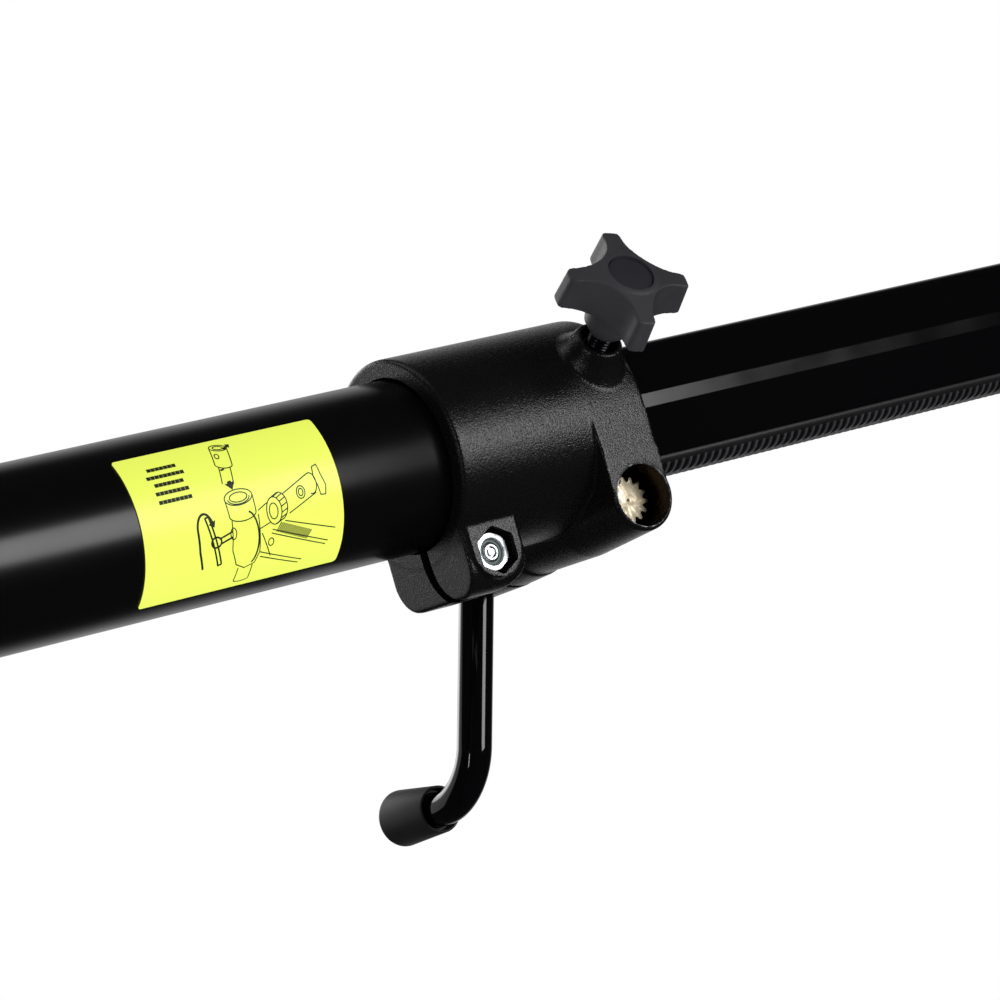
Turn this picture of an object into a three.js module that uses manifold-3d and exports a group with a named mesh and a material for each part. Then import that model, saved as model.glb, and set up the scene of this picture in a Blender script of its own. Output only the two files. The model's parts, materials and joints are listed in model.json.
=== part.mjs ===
// Crank lighting stand: a boom stand whose boom telescopes by a rack, a pinion and a crank.
// Millimetres, +Z up. The origin is on the floor under the column, and the boom points along +X.

import * as THREE from 'three';
import { mergeVertices } from 'three/addons/utils/BufferGeometryUtils.js';
import Module from 'manifold-3d';

const wasm = await Module();
wasm.setup();

const DEG = Math.PI / 180;
const GAP = 0.3; // clearance between pieces that touch on the real object
const PROUD = 1; // how far a cutting tool runs past the face that it cuts
const ROUND = 40; // sides of a large round
const SMALL = 20; // sides of a small round
const TINY = 12; // sides of a screw or a pin

// Boom frame: the origin is on the tube's axis at the rear rim of the collar, +X towards the head.
const FULCRUM_X = -450;
const BOOM_Z = 1320;

const TUBE_R = 35;
const TUBE_WALL = 3;
const TUBE_REAR_X = -1000;
const TUBE_FRONT_X = 58;
const END_CAP = { flange: 6, plug: 20 };

const LABEL = { rearX: -142, frontX: -52, lowDeg: -61.5, highDeg: 42, thickness: 0.25 };

const COLLAR_R = 43;
const COLLAR_LENGTH = 97;
const COLLAR_LIP = 3; // rounding of the collar's front edge
const NOSE_BORE_R = 31.5;
const GUIDE_R = 29.55; // inside radius of the guide bushes, clear of the hexagon's corners

const HEX_APOTHEM = 26.25;
const HEX_CORNER_R = 8;
const HEX_WALL = 3;
const HEX_REAR_X = -640;
const HEX_FRONT_X = 440;

const RACK_PITCH = 4;
const RACK = { rearX: -443.4, teeth: 209, halfWidth: 11, bedZ: -24.5, rootZ: -26.55, tipZ: -28.8 };
const PITCH_LINE_Z = -27.8;

const PINION_TEETH = 14;
const PINION_PITCH_R = (RACK_PITCH * PINION_TEETH) / (2 * Math.PI);
const PINION_X = 80.6;
const PINION_Z = PITCH_LINE_Z - PINION_PITCH_R;
const PINION = { nearY: -33, farY: 12, addendum: 0.85, dedendum: 1.25 };
const SHAFT_R = 7;
const SHAFT_END_Y = 68;

const HOUSING = { nearY: -44, farY: 52, nearR: 14.3, farR: 18, boreR: 12.66, boreEndY: 14 };
const FAR_BOSS = { nearY: 34, nearR: 18.7, farR: 19.8 };
const LUG = { x: 14.5, z: -43, r: 14.9, nearY: -30, farY: 26.3, cornerR: 12 };
const LUG_SLOT = { turnY: -19.2, turnZ: -42.4, nearR: 15.8, farR: 21.2, farEndR: 17.6, sweepDeg: 78 };
const NUT = { acrossFlats: 13, nearY: -26, farY: -18.3 };
const BOLT_R = 4;

const KNOB_X = 80.6;
const KNOB_TILT_DEG = 57.5; // from straight up, towards the side away from the crank
const KNOB_TURN_DEG = 73;
const KNOB_BOSS = { footR: 16.3, foot: 39.9, waistR: 14.1, waist: 42.6, topR: 9.3, top: 51.8 };
const STUD_MOUTH = { low: 45, lowR: 6.9, high: 54, highR: 8.2 };
const STUD = { r: 5, low: 34.3, high: 68 };
const BRAKE_SHOE = { low: 26.6, high: 34 };
const STAR_KNOB = { tipR: 25.5, tipRound: 5, waist: 11.5, low: 70.9, high: 88.9, neckLow: 56.4, neckR: 6.7 };

const CRANK_HANG_DEG = 19.75;
const CRANK_RADIUS = 106.9;
const CRANK_ROD_R = 7.4;
const CRANK_PLANE_Y = 78;
const CRANK_BEND_R = 23;
const CRANK_PIN_END_Y = 131;
const HUB = { nearY: 52.5, farY: 90, nearR: 20, farR: 21, screwY: 61 };
const GRIP = { nearY: 103.6, farY: 135.4, nearR: 10, farR: 12.4 };

const SADDLE = { half: 65, width: 54, low: -50, boltX: 50, boltY: 47, capR: 42 };
const TILT_DROP = 80; // from the tube's axis down to the tilt bolt
const TILT_LUG = { halfWidth: 24, r: 22 };
const YOKE = { armInner: 24.5, armOuter: 34.5, baseR: 27, spigotR: 14 };

const COUNTERWEIGHT = { rearX: -970, frontX: -890, r: 74 };

const HEAD_PIVOT_X = 505;
const HEAD = { socketX: 555, socketR: 24, half: 45, boreR: 14.35, lugHalf: 19.7, lugR: 17 };
const FORK = { inner: 20, outer: 30, r: 18 };

const COLUMN = { r: 22, wall: 2.5, low: 8, high: 760 };
const RISER = { r: 18, wall: 2.5, low: 330, high: 1108 };
const TOP_SOCKET = { low: 1080, high: 1160, r: 27, floor: 1118 };
const COLLAR_TOP_Z = 785;
const LEG = { r: 12.5, reach: 500, ringHeight: 30, firstZ: 150, step: 34, kneeR: 85, heelR: 330 };
const LEG_AZIMUTH_DEG = [180, -60, 60];
const FOOT = { length: 48, r: 16, axisZ: 16 };

const paint = (color, roughness, metalness) =>
  new THREE.MeshStandardMaterial({ color, roughness, metalness });

const MATERIAL = {
  tube: paint(0x0b0b0c, 0.35, 0.2),
  casting: paint(0x141415, 0.6, 0.1),
  gloss: paint(0x0a0a0b, 0.15, 0.2),
  plastic: paint(0x34343a, 0.6, 0),
  zinc: paint(0xb9bec4, 0.3, 1),
  steel: paint(0x8c9096, 0.35, 1),
  brass: paint(0xd9c79a, 0.4, 0.8),
  bush: paint(0x222222, 0.5, 0),
  rubber: paint(0x17171a, 0.9, 0),
  label: paint(0xd9ee3a, 0.5, 0),
  iron: paint(0x18181a, 0.7, 0.2),
};

// ---------------------------------------------------------------- solids

// A three.js geometry becomes a solid, turned right side out if its faces point inwards.
function solid(geometry) {
  const bare = geometry.index ? geometry.toNonIndexed() : geometry.clone();
  bare.deleteAttribute('normal');
  bare.deleteAttribute('uv');
  const merged = mergeVertices(bare, 1e-4);
  const points = merged.attributes.position.array;
  const triangles = dropSlivers(merged.index.array);
  if (signedVolume(points, triangles) < 0) {
    flip(triangles);
  }
  return new wasm.Manifold(
    new wasm.Mesh({
      numProp: 3,
      vertProperties: Float32Array.from(points),
      triVerts: Uint32Array.from(triangles),
    }),
  );
}

function dropSlivers(index) {
  const kept = [];
  for (let i = 0; i < index.length; i += 3) {
    const [a, b, c] = [index[i], index[i + 1], index[i + 2]];
    if (a !== b && b !== c && c !== a) {
      kept.push(a, b, c);
    }
  }
  return kept;
}

function signedVolume(points, triangles) {
  const corner = (i) => new THREE.Vector3().fromArray(points, 3 * i);
  let total = 0;
  for (let i = 0; i < triangles.length; i += 3) {
    const [a, b, c] = [corner(triangles[i]), corner(triangles[i + 1]), corner(triangles[i + 2])];
    total += a.dot(b.cross(c));
  }
  return total;
}

function flip(triangles) {
  for (let i = 0; i < triangles.length; i += 3) {
    [triangles[i], triangles[i + 1]] = [triangles[i + 1], triangles[i]];
  }
}

const join = (first, ...others) => others.reduce((sum, other) => sum.add(other), first);
const cut = (first, ...tools) => tools.reduce((rest, tool) => rest.subtract(tool), first);

// A round bar or cone from one point to another.
function bar(from, to, fromR, toR = fromR, sides = SMALL) {
  const start = new THREE.Vector3(...from);
  const along = new THREE.Vector3(...to).sub(start);
  const geometry = new THREE.CylinderGeometry(toR, fromR, along.length(), sides);
  geometry.translate(0, along.length() / 2, 0);
  const up = new THREE.Vector3(0, 1, 0);
  geometry.applyQuaternion(new THREE.Quaternion().setFromUnitVectors(up, along.normalize()));
  geometry.translate(start.x, start.y, start.z);
  return solid(geometry);
}

const barX = (x0, x1, r, sides = ROUND) => bar([x0, 0, 0], [x1, 0, 0], r, r, sides);
const barZ = (z0, z1, r, sides = SMALL) => bar([0, 0, z0], [0, 0, z1], r, r, sides);
const barY = (x, z, y0, y1, r, sides = SMALL) => bar([x, y0, z], [x, y1, z], r, r, sides);

const pipeX = (x0, x1, r, innerR, sides = ROUND) =>
  cut(barX(x0, x1, r, sides), barX(x0 - PROUD, x1 + PROUD, innerR, sides));
const pipeZ = (z0, z1, r, innerR, sides = SMALL) =>
  cut(barZ(z0, z1, r, sides), barZ(z0 - PROUD, z1 + PROUD, innerR, sides));

function box(x0, x1, y0, y1, z0, z1) {
  const geometry = new THREE.BoxGeometry(x1 - x0, y1 - y0, z1 - z0);
  geometry.translate((x0 + x1) / 2, (y0 + y1) / 2, (z0 + z1) / 2);
  return solid(geometry);
}

// An outline drawn in the YZ plane, carried along X.
function extrudeX(shape, x0, x1, curveSegments = 6) {
  const geometry = new THREE.ExtrudeGeometry(shape, {
    depth: x1 - x0,
    bevelEnabled: false,
    curveSegments,
  });
  geometry.applyMatrix4(new THREE.Matrix4().set(0, 0, 1, x0, 1, 0, 0, 0, 0, 1, 0, 0, 0, 0, 0, 1));
  return solid(geometry);
}

// An outline drawn in the XZ plane, carried along Y.
function extrudeY(shape, y0, y1, curveSegments = 6) {
  const geometry = new THREE.ExtrudeGeometry(shape, {
    depth: y1 - y0,
    bevelEnabled: false,
    curveSegments,
  });
  geometry.applyMatrix4(new THREE.Matrix4().set(1, 0, 0, 0, 0, 0, 1, y0, 0, 1, 0, 0, 0, 0, 0, 1));
  return solid(geometry);
}

function extrudeZ(shape, z0, z1, curveSegments = 6) {
  const geometry = new THREE.ExtrudeGeometry(shape, {
    depth: z1 - z0,
    bevelEnabled: false,
    curveSegments,
  });
  geometry.translate(0, 0, z0);
  return solid(geometry);
}

// A bent rod: straight runs joined by round bends.
function bentRod(corners, bendR, r, sides = TINY, steps = 6) {
  const path = new THREE.CurvePath();
  let at = corners[0];
  for (let i = 1; i < corners.length - 1; i += 1) {
    const before = corners[i].clone().sub(corners[i - 1]).normalize();
    const after = corners[i + 1].clone().sub(corners[i]).normalize();
    const back = bendR * Math.tan(before.angleTo(after) / 2);
    const enter = corners[i].clone().addScaledVector(before, -back);
    const leave = corners[i].clone().addScaledVector(after, back);
    path.add(new THREE.LineCurve3(at, enter));
    path.add(new THREE.QuadraticBezierCurve3(enter, corners[i], leave));
    at = leave;
  }
  path.add(new THREE.LineCurve3(at, corners[corners.length - 1]));
  return sweep(path.curves, r, sides, steps);
}

// Rings of points along the curves, skinned and closed at both ends.
function sweep(curves, r, sides, steps) {
  const centres = [];
  for (const curve of curves) {
    const count = curve.isLineCurve3 ? 1 : steps;
    for (let i = 0; i < count; i += 1) {
      centres.push([curve.getPoint(i / count), curve.getTangent(i / count)]);
    }
  }
  const last = curves[curves.length - 1];
  centres.push([last.getPoint(1), last.getTangent(1)]);
  return skin(centres, r, sides);
}

function skin(centres, r, sides) {
  const side = planeNormal(centres);
  const points = [];
  for (const [centre, tangent] of centres) {
    const across = side.clone().cross(tangent).normalize();
    for (let k = 0; k < sides; k += 1) {
      const angle = ((k + 0.5) * 2 * Math.PI) / sides;
      const point = centre.clone();
      point.addScaledVector(side, r * Math.cos(angle));
      point.addScaledVector(across, r * Math.sin(angle));
      points.push(...point.toArray());
    }
  }
  return closedSkin(points, centres.length, sides);
}

function planeNormal(centres) {
  const first = centres[0][1];
  const other = centres.map((entry) => entry[1]).find((tangent) => tangent.angleTo(first) > 0.1);
  return first.clone().cross(other).normalize();
}

function closedSkin(points, rings, sides) {
  const index = [];
  for (let ring = 0; ring < rings - 1; ring += 1) {
    for (let k = 0; k < sides; k += 1) {
      const a = ring * sides + k;
      const b = ring * sides + ((k + 1) % sides);
      index.push(a, b, a + sides, b, b + sides, a + sides);
    }
  }
  const end = (rings - 1) * sides;
  for (let k = 1; k < sides - 1; k += 1) {
    index.push(0, k + 1, k, end, end + k, end + k + 1);
  }
  const geometry = new THREE.BufferGeometry();
  geometry.setAttribute('position', new THREE.Float32BufferAttribute(points, 3));
  geometry.setIndex(index);
  return solid(geometry);
}

// ---------------------------------------------------------------- outlines

function polygon(points) {
  return new THREE.Shape(points.map(([x, y]) => new THREE.Vector2(x, y)));
}

// A hexagon with flats at the top and bottom and rounded corners.
function roundedHexagon(apothem, cornerR, cornerSteps = 3) {
  const centreR = (apothem - cornerR) / Math.cos(30 * DEG);
  const points = [];
  for (let corner = 0; corner < 6; corner += 1) {
    const middle = corner * 60 * DEG;
    for (let step = 0; step <= cornerSteps; step += 1) {
      const angle = middle + (step / cornerSteps - 0.5) * 60 * DEG;
      points.push([
        centreR * Math.cos(middle) + cornerR * Math.cos(angle),
        centreR * Math.sin(middle) + cornerR * Math.sin(angle),
      ]);
    }
  }
  return polygon(points);
}

function sharpHexagon(acrossFlats, turn = 0) {
  const r = acrossFlats / 2 / Math.cos(30 * DEG);
  const points = [];
  for (let corner = 0; corner < 6; corner += 1) {
    const angle = corner * 60 * DEG + turn;
    points.push([r * Math.cos(angle), r * Math.sin(angle)]);
  }
  return polygon(points);
}

// Four round lobes joined by hollow sides.
function starOutline(tipR, tipRound, waist, turn) {
  const lobeR = tipR - tipRound;
  const shape = new THREE.Shape();
  for (let lobe = 0; lobe < 4; lobe += 1) {
    const angle = turn + lobe * 90 * DEG;
    const next = angle + 45 * DEG;
    const [x, y] = [lobeR * Math.cos(angle), lobeR * Math.sin(angle)];
    shape.absarc(x, y, tipRound, angle - 75 * DEG, angle + 75 * DEG, false);
    const target = angle + 90 * DEG - 75 * DEG;
    const pull = 2 * waist - lobeR * Math.cos(45 * DEG);
    shape.quadraticCurveTo(
      pull * Math.cos(next),
      pull * Math.sin(next),
      lobeR * Math.cos(angle + 90 * DEG) + tipRound * Math.cos(target),
      lobeR * Math.sin(angle + 90 * DEG) + tipRound * Math.sin(target),
    );
  }
  return shape;
}

function gearOutline() {
  const step = (2 * Math.PI) / PINION_TEETH;
  const profile = [
    [PINION_PITCH_R - PINION.dedendum, -1.3],
    [PINION_PITCH_R, -0.75],
    [PINION_PITCH_R + PINION.addendum, -0.15],
    [PINION_PITCH_R + PINION.addendum, 0.15],
    [PINION_PITCH_R, 0.75],
    [PINION_PITCH_R - PINION.dedendum, 1.3],
  ];
  const points = [];
  for (let tooth = 0; tooth < PINION_TEETH; tooth += 1) {
    for (const [r, halfWidth] of profile) {
      const angle = 90 * DEG + tooth * step + halfWidth / r;
      points.push([r * Math.cos(angle), r * Math.sin(angle)]);
    }
  }
  return polygon(points);
}

// A tab: a round end about one point, with straight sides running to a line above it.
function tabOutline(x, z, r, topZ) {
  const shape = new THREE.Shape();
  shape.moveTo(x + r, topZ);
  shape.lineTo(x - r, topZ);
  shape.lineTo(x - r, z);
  shape.absarc(x, z, r, Math.PI, 2 * Math.PI, false);
  shape.closePath();
  return shape;
}

// ---------------------------------------------------------------- scene graph

const stand = new THREE.Group();

function group(parent, position = [0, 0, 0], rotation = [0, 0, 0]) {
  const made = new THREE.Group();
  made.position.set(...position);
  made.rotation.set(...rotation);
  parent.add(made);
  return made;
}

function piece(parent, name, body, material) {
  const mesh = body.getMesh();
  const geometry = new THREE.BufferGeometry();
  geometry.setAttribute('position', new THREE.Float32BufferAttribute(mesh.vertProperties, 3));
  geometry.setIndex(Array.from(mesh.triVerts));
  geometry.computeVertexNormals();
  const made = new THREE.Mesh(geometry, material);
  made.name = name;
  parent.add(made);
  return made;
}

const boom = group(stand, [-FULCRUM_X, 0, BOOM_Z]);

// ---------------------------------------------------------------- outer boom

// A plastic ring round the hexagonal tube, slit below so that the rack passes.
function guideBush(x0, x1, r) {
  const half = RACK.halfWidth + 1;
  const slit = box(x0 - PROUD, x1 + PROUD, -half, half, -40, RACK.bedZ);
  return cut(pipeX(x0, x1, r, GUIDE_R), slit);
}

function addOuterTube() {
  const inner = TUBE_R - TUBE_WALL;
  piece(boom, 'outer_tube', pipeX(TUBE_REAR_X, TUBE_FRONT_X, TUBE_R, inner), MATERIAL.tube);
  const flange = barX(TUBE_REAR_X - END_CAP.flange, TUBE_REAR_X - GAP, TUBE_R);
  const plug = barX(TUBE_REAR_X - GAP - PROUD, TUBE_REAR_X + END_CAP.plug, inner - GAP);
  piece(boom, 'rear_end_cap', join(flange, plug), MATERIAL.rubber);
  const bush = guideBush(20, TUBE_FRONT_X - PROUD, inner - GAP);
  piece(boom, 'inner_guide_bush', bush, MATERIAL.bush);
}

// A thin patch of a cylinder on the side of the tube that faces -Y.
function addLabel() {
  const inner = TUBE_R + GAP;
  const outer = inner + LABEL.thickness;
  const low = Math.PI - LABEL.highDeg * DEG;
  const high = Math.PI - LABEL.lowDeg * DEG;
  const shape = new THREE.Shape();
  shape.absarc(0, 0, outer, low, high, false);
  shape.absarc(0, 0, inner, high, low, true);
  shape.closePath();
  piece(boom, 'info_label', extrudeX(shape, LABEL.rearX, LABEL.frontX, 16), MATERIAL.label);
}

// The two clamp lugs: one block, rounded end-on and rounded below, before the slot parts it.
function clampLugs() {
  const { x, z, r, nearY, farY, cornerR } = LUG;
  const low = z - r;
  const shape = new THREE.Shape();
  shape.moveTo(nearY, -20);
  shape.absarc(nearY + cornerR, low + cornerR, cornerR, Math.PI, 1.5 * Math.PI, false);
  shape.absarc(farY - cornerR, low + cornerR, cornerR, 1.5 * Math.PI, 2 * Math.PI, false);
  shape.lineTo(farY, -20);
  shape.closePath();
  const endOn = extrudeX(shape, 0, x + r + PROUD, 3);
  const fromSide = extrudeY(tabOutline(x, z, r, -15), nearY - PROUD, farY + PROUD, 10);
  return endOn.intersect(fromSide);
}

function pinionHousing() {
  const { nearY, farY, nearR, farR } = HOUSING;
  const near = bar([PINION_X, nearY, PINION_Z], [PINION_X, -4, PINION_Z], nearR, farR - 0.5, 28);
  const far = bar([PINION_X, -4.5, PINION_Z], [PINION_X, farY - PROUD, PINION_Z], farR, farR, 28);
  const boss = bar([PINION_X, FAR_BOSS.nearY, PINION_Z], [PINION_X, farY, PINION_Z],
    FAR_BOSS.nearR, FAR_BOSS.farR, 28);
  const web = box(PINION_X - nearR, PINION_X + nearR - 0.4, nearY + 0.4, -20, PINION_Z, 4);
  return join(near, far, boss, web);
}

// The knob's axis leaves the tube's axis above the pinion, tilted towards -Y.
function alongKnob(distance) {
  const tilt = KNOB_TILT_DEG * DEG;
  return [KNOB_X, -distance * Math.sin(tilt), distance * Math.cos(tilt)];
}

// A round tapered bar along the knob's axis.
function knobBar(low, high, lowR, highR, sides) {
  return bar(alongKnob(low), alongKnob(high), lowR, highR, sides);
}

// The knob's boss flares where it leaves the sleeve and narrows to a round mouth.
function knobBoss() {
  const { footR, foot, waistR, waist, topR, top } = KNOB_BOSS;
  const base = knobBar(36, foot, footR, footR, 24);
  const flare = knobBar(foot - 0.01, waist, footR, waistR, 24);
  const cone = knobBar(waist - 0.01, top, waistR, topR, 24);
  return join(base, flare, cone);
}

function collarOutside() {
  const sleeve = barX(0, COLLAR_LENGTH - COLLAR_LIP, COLLAR_R, 48);
  const lip = bar([COLLAR_LENGTH - COLLAR_LIP - 0.01, 0, 0], [COLLAR_LENGTH, 0, 0],
    COLLAR_R, COLLAR_R - COLLAR_LIP, 48);
  return join(sleeve, lip, clampLugs(), pinionHousing(), knobBoss());
}

// The split between the lugs: straight at the bore, then curving under the near lug.
function lugSlot() {
  const { turnY, turnZ, nearR, farR, farEndR, sweepDeg } = LUG_SLOT;
  const steps = 8;
  const near = [[turnY + nearR, -28]];
  const far = [[turnY + farR, -28]];
  for (let step = 0; step <= steps; step += 1) {
    const angle = (-sweepDeg * DEG * step) / steps;
    const r = farR + ((farEndR - farR) * step) / steps;
    near.push([turnY + nearR * Math.cos(angle), turnZ + nearR * Math.sin(angle)]);
    far.push([turnY + r * Math.cos(angle), turnZ + r * Math.sin(angle)]);
  }
  const below = [[turnY - 3, turnZ - 20], [turnY + 8, turnZ - 20]];
  return extrudeX(polygon([...near, ...below, ...far.slice(0, -1).reverse()]), -PROUD, 34);
}

function nutPocket() {
  const geometry = new THREE.ExtrudeGeometry(sharpHexagon(NUT.acrossFlats + 1.6, 30 * DEG), {
    depth: NUT.farY + GAP - (NUT.nearY - 2),
    bevelEnabled: false,
  });
  geometry.rotateX(-90 * DEG);
  geometry.translate(LUG.x, NUT.nearY - 2, LUG.z);
  return solid(geometry);
}

function addCollar() {
  const { boreR, boreEndY, nearY, farY } = HOUSING;
  const tubeBore = barX(-PROUD, TUBE_FRONT_X + 2, TUBE_R + GAP, ROUND);
  const noseBore = barX(0, COLLAR_LENGTH + PROUD, NOSE_BORE_R, ROUND);
  const pinionBore = barY(PINION_X, PINION_Z, nearY - PROUD, boreEndY, boreR, 28);
  const bushBore = barY(PINION_X, PINION_Z, 0, farY + PROUD, SHAFT_R + 3.5, 24);
  const boltHole = barY(LUG.x, LUG.z, -30, 30, BOLT_R + GAP, TINY);
  const studHole = knobBar(20, 60, STUD.r + 0.35, STUD.r + 0.35, SMALL);
  const mouth = knobBar(STUD_MOUTH.low, STUD_MOUTH.high, STUD_MOUTH.lowR, STUD_MOUTH.highR, SMALL);
  const bores = [tubeBore, noseBore, pinionBore, bushBore, boltHole, studHole, mouth];
  const collar = cut(collarOutside(), ...bores, lugSlot(), nutPocket());
  piece(boom, 'crank_collar', collar, MATERIAL.casting);
  const noseBush = guideBush(90.5, COLLAR_LENGTH - 0.5, NOSE_BORE_R - GAP);
  piece(boom, 'nose_guide_bush', noseBush, MATERIAL.bush);
  const bushOuter = barY(PINION_X, PINION_Z, 13, farY - 0.5, SHAFT_R + 3.2, 24);
  const bushInner = barY(PINION_X, PINION_Z, 12, farY + PROUD, SHAFT_R + 0.2, 24);
  piece(boom, 'pinion_bush', cut(bushOuter, bushInner), MATERIAL.steel);
}

function addClampFasteners() {
  const nutGroup = group(boom, [LUG.x, 0, LUG.z], [-90 * DEG, 0, 0]);
  const nut = extrudeZ(sharpHexagon(NUT.acrossFlats, 30 * DEG), NUT.nearY, NUT.farY);
  const nutHole = barZ(NUT.nearY - PROUD, NUT.farY + PROUD, BOLT_R + GAP, TINY);
  piece(nutGroup, 'clamp_nut', cut(nut, nutHole), MATERIAL.zinc);
  const shank = barZ(NUT.nearY + 1, 27, BOLT_R, TINY);
  const head = extrudeZ(sharpHexagon(NUT.acrossFlats), 26.3, 32);
  piece(nutGroup, 'clamp_bolt', join(shank, head), MATERIAL.zinc);
}

// ---------------------------------------------------------------- inner boom

function hexTube() {
  const outer = extrudeX(roundedHexagon(HEX_APOTHEM, HEX_CORNER_R), HEX_REAR_X, HEX_FRONT_X);
  const innerShape = roundedHexagon(HEX_APOTHEM - HEX_WALL, HEX_CORNER_R - HEX_WALL, 2);
  const inner = extrudeX(innerShape, HEX_REAR_X - PROUD, HEX_FRONT_X + PROUD);
  const end = RACK.rearX + RACK.teeth * RACK_PITCH + GAP;
  const half = RACK.halfWidth + GAP;
  const bed = box(RACK.rearX - GAP, end, -half, half, -40, RACK.bedZ);
  return cut(outer, inner, bed);
}

// The strip of teeth, drawn from the side and carried across its width.
function gearRack() {
  const points = [];
  for (let tooth = 0; tooth < RACK.teeth; tooth += 1) {
    const x = RACK.rearX + tooth * RACK_PITCH;
    points.push([x, RACK.rootZ], [x + RACK_PITCH / 2, RACK.tipZ]);
  }
  const end = RACK.rearX + RACK.teeth * RACK_PITCH;
  points.push([end, RACK.rootZ], [end, RACK.bedZ - GAP], [RACK.rearX, RACK.bedZ - GAP]);
  return extrudeY(polygon(points), -RACK.halfWidth, RACK.halfWidth);
}

function addInnerBoom() {
  piece(boom, 'inner_tube', hexTube(), MATERIAL.gloss);
  piece(boom, 'gear_rack', gearRack(), MATERIAL.gloss);
  const disc = barX(HEX_REAR_X - 20, HEX_REAR_X - GAP, TUBE_R - TUBE_WALL - GAP);
  const plug = barX(HEX_REAR_X - PROUD, HEX_REAR_X + 25, 21);
  piece(boom, 'tail_guide', join(disc, plug), MATERIAL.bush);
}

// ---------------------------------------------------------------- crank

const crank = group(boom, [PINION_X, 0, PINION_Z], [0, CRANK_HANG_DEG * DEG, 0]);

function addPinion() {
  const gear = extrudeY(gearOutline(), PINION.nearY, PINION.farY);
  const mesh = piece(crank, 'pinion_gear', gear, MATERIAL.brass);
  mesh.rotation.y = -CRANK_HANG_DEG * DEG;
  piece(crank, 'pinion_shaft', barY(0, 0, PINION.farY + GAP, SHAFT_END_Y, SHAFT_R, 24), MATERIAL.steel);
}

function addCrankHub() {
  const { nearY, farY, nearR, farR, screwY } = HUB;
  const body = bar([0, nearY, 0], [0, farY, 0], nearR, farR, 28);
  const shaftBore = barY(0, 0, nearY - PROUD, SHAFT_END_Y + 0.5, SHAFT_R + GAP, 24);
  const rodHole = bar([0, CRANK_PLANE_Y, 1], [0, CRANK_PLANE_Y, -40], CRANK_ROD_R + 0.4);
  const screwHole = bar([0, screwY, 0], [30, screwY, 0], 2.8, 2.8, TINY);
  piece(crank, 'crank_hub', cut(body, shaftBore, rodHole, screwHole), MATERIAL.casting);
  const screw = bar([SHAFT_R + GAP, screwY, 0], [19, screwY, 0], 2.5, 2.5, TINY);
  piece(crank, 'hub_set_screw', screw, MATERIAL.steel);
}

function addCrankArm() {
  const corners = [
    new THREE.Vector3(0, CRANK_PLANE_Y, 0),
    new THREE.Vector3(0, CRANK_PLANE_Y, -CRANK_RADIUS),
    new THREE.Vector3(0, CRANK_PIN_END_Y, -CRANK_RADIUS),
  ];
  piece(crank, 'crank_arm', bentRod(corners, CRANK_BEND_R, CRANK_ROD_R, 16), MATERIAL.gloss);
}

function addCrankGrip() {
  const { nearY, farY, nearR, farR } = GRIP;
  const z = -CRANK_RADIUS;
  const body = bar([0, nearY, z], [0, farY, z], nearR, farR, 24);
  const bore = barY(0, z, nearY - PROUD, CRANK_PIN_END_Y + 0.5, CRANK_ROD_R + 0.4, 16);
  const mouth = bar([0, nearY - PROUD, z], [0, nearY + 4, z], 9, 8, 24);
  piece(crank, 'crank_grip', cut(body, bore, mouth), MATERIAL.plastic);
}

// ---------------------------------------------------------------- lock knobs

// A lock screw in its own frame: +Z points out of the casting and 0 is the axis it presses on.
function starKnobBody(knob, turn) {
  const { tipR, tipRound, waist, low, high, neckLow, neckR, studHigh, studR } = knob;
  const lobes = extrudeZ(starOutline(tipR, tipRound, waist, turn), low, high, 4);
  const neck = bar([0, 0, neckLow], [0, 0, low + PROUD], neckR, waist, SMALL);
  const bore = barZ(neckLow - PROUD, studHigh + 0.5, studR + GAP, TINY);
  return cut(join(lobes, neck), bore);
}

function addStarKnob() {
  const frame = group(boom, [KNOB_X, 0, 0], [KNOB_TILT_DEG * DEG, 0, 0]);
  const knob = { ...STAR_KNOB, studHigh: STUD.high, studR: STUD.r };
  const recess = barZ(STAR_KNOB.high - 1.6, STAR_KNOB.high + PROUD, 9.8, 24);
  const body = cut(starKnobBody(knob, KNOB_TURN_DEG * DEG), recess);
  piece(frame, 'star_knob', body, MATERIAL.plastic);
  const cap = barZ(STAR_KNOB.high - 1.3, STAR_KNOB.high - 0.4, 9.5, 24);
  piece(frame, 'knob_cap', cap, MATERIAL.plastic);
  piece(frame, 'lock_stud', barZ(STUD.low, STUD.high, STUD.r, 16), MATERIAL.steel);
  piece(frame, 'brake_shoe', barZ(BRAKE_SHOE.low, BRAKE_SHOE.high, STUD.r, 16), MATERIAL.brass);
}

// The plain lock screws of the stand share one design.
function addLockScrew(parent, name, padLow, position, rotation) {
  const frame = group(parent, position, rotation);
  const padHigh = padLow + 4;
  piece(frame, `${name}_pad`, barZ(padLow, padHigh, 4, TINY), MATERIAL.brass);
  const screw = barZ(padHigh + GAP, padHigh + 26, 4, TINY);
  const low = padHigh + 24;
  const lobes = extrudeZ(starOutline(22, 5, 10.5, 0), low, low + 14, 4);
  piece(frame, `${name}_knob`, join(screw, lobes), MATERIAL.plastic);
}

// ---------------------------------------------------------------- fulcrum and counterweight

const fulcrum = group(boom, [FULCRUM_X, 0, 0]);

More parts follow.
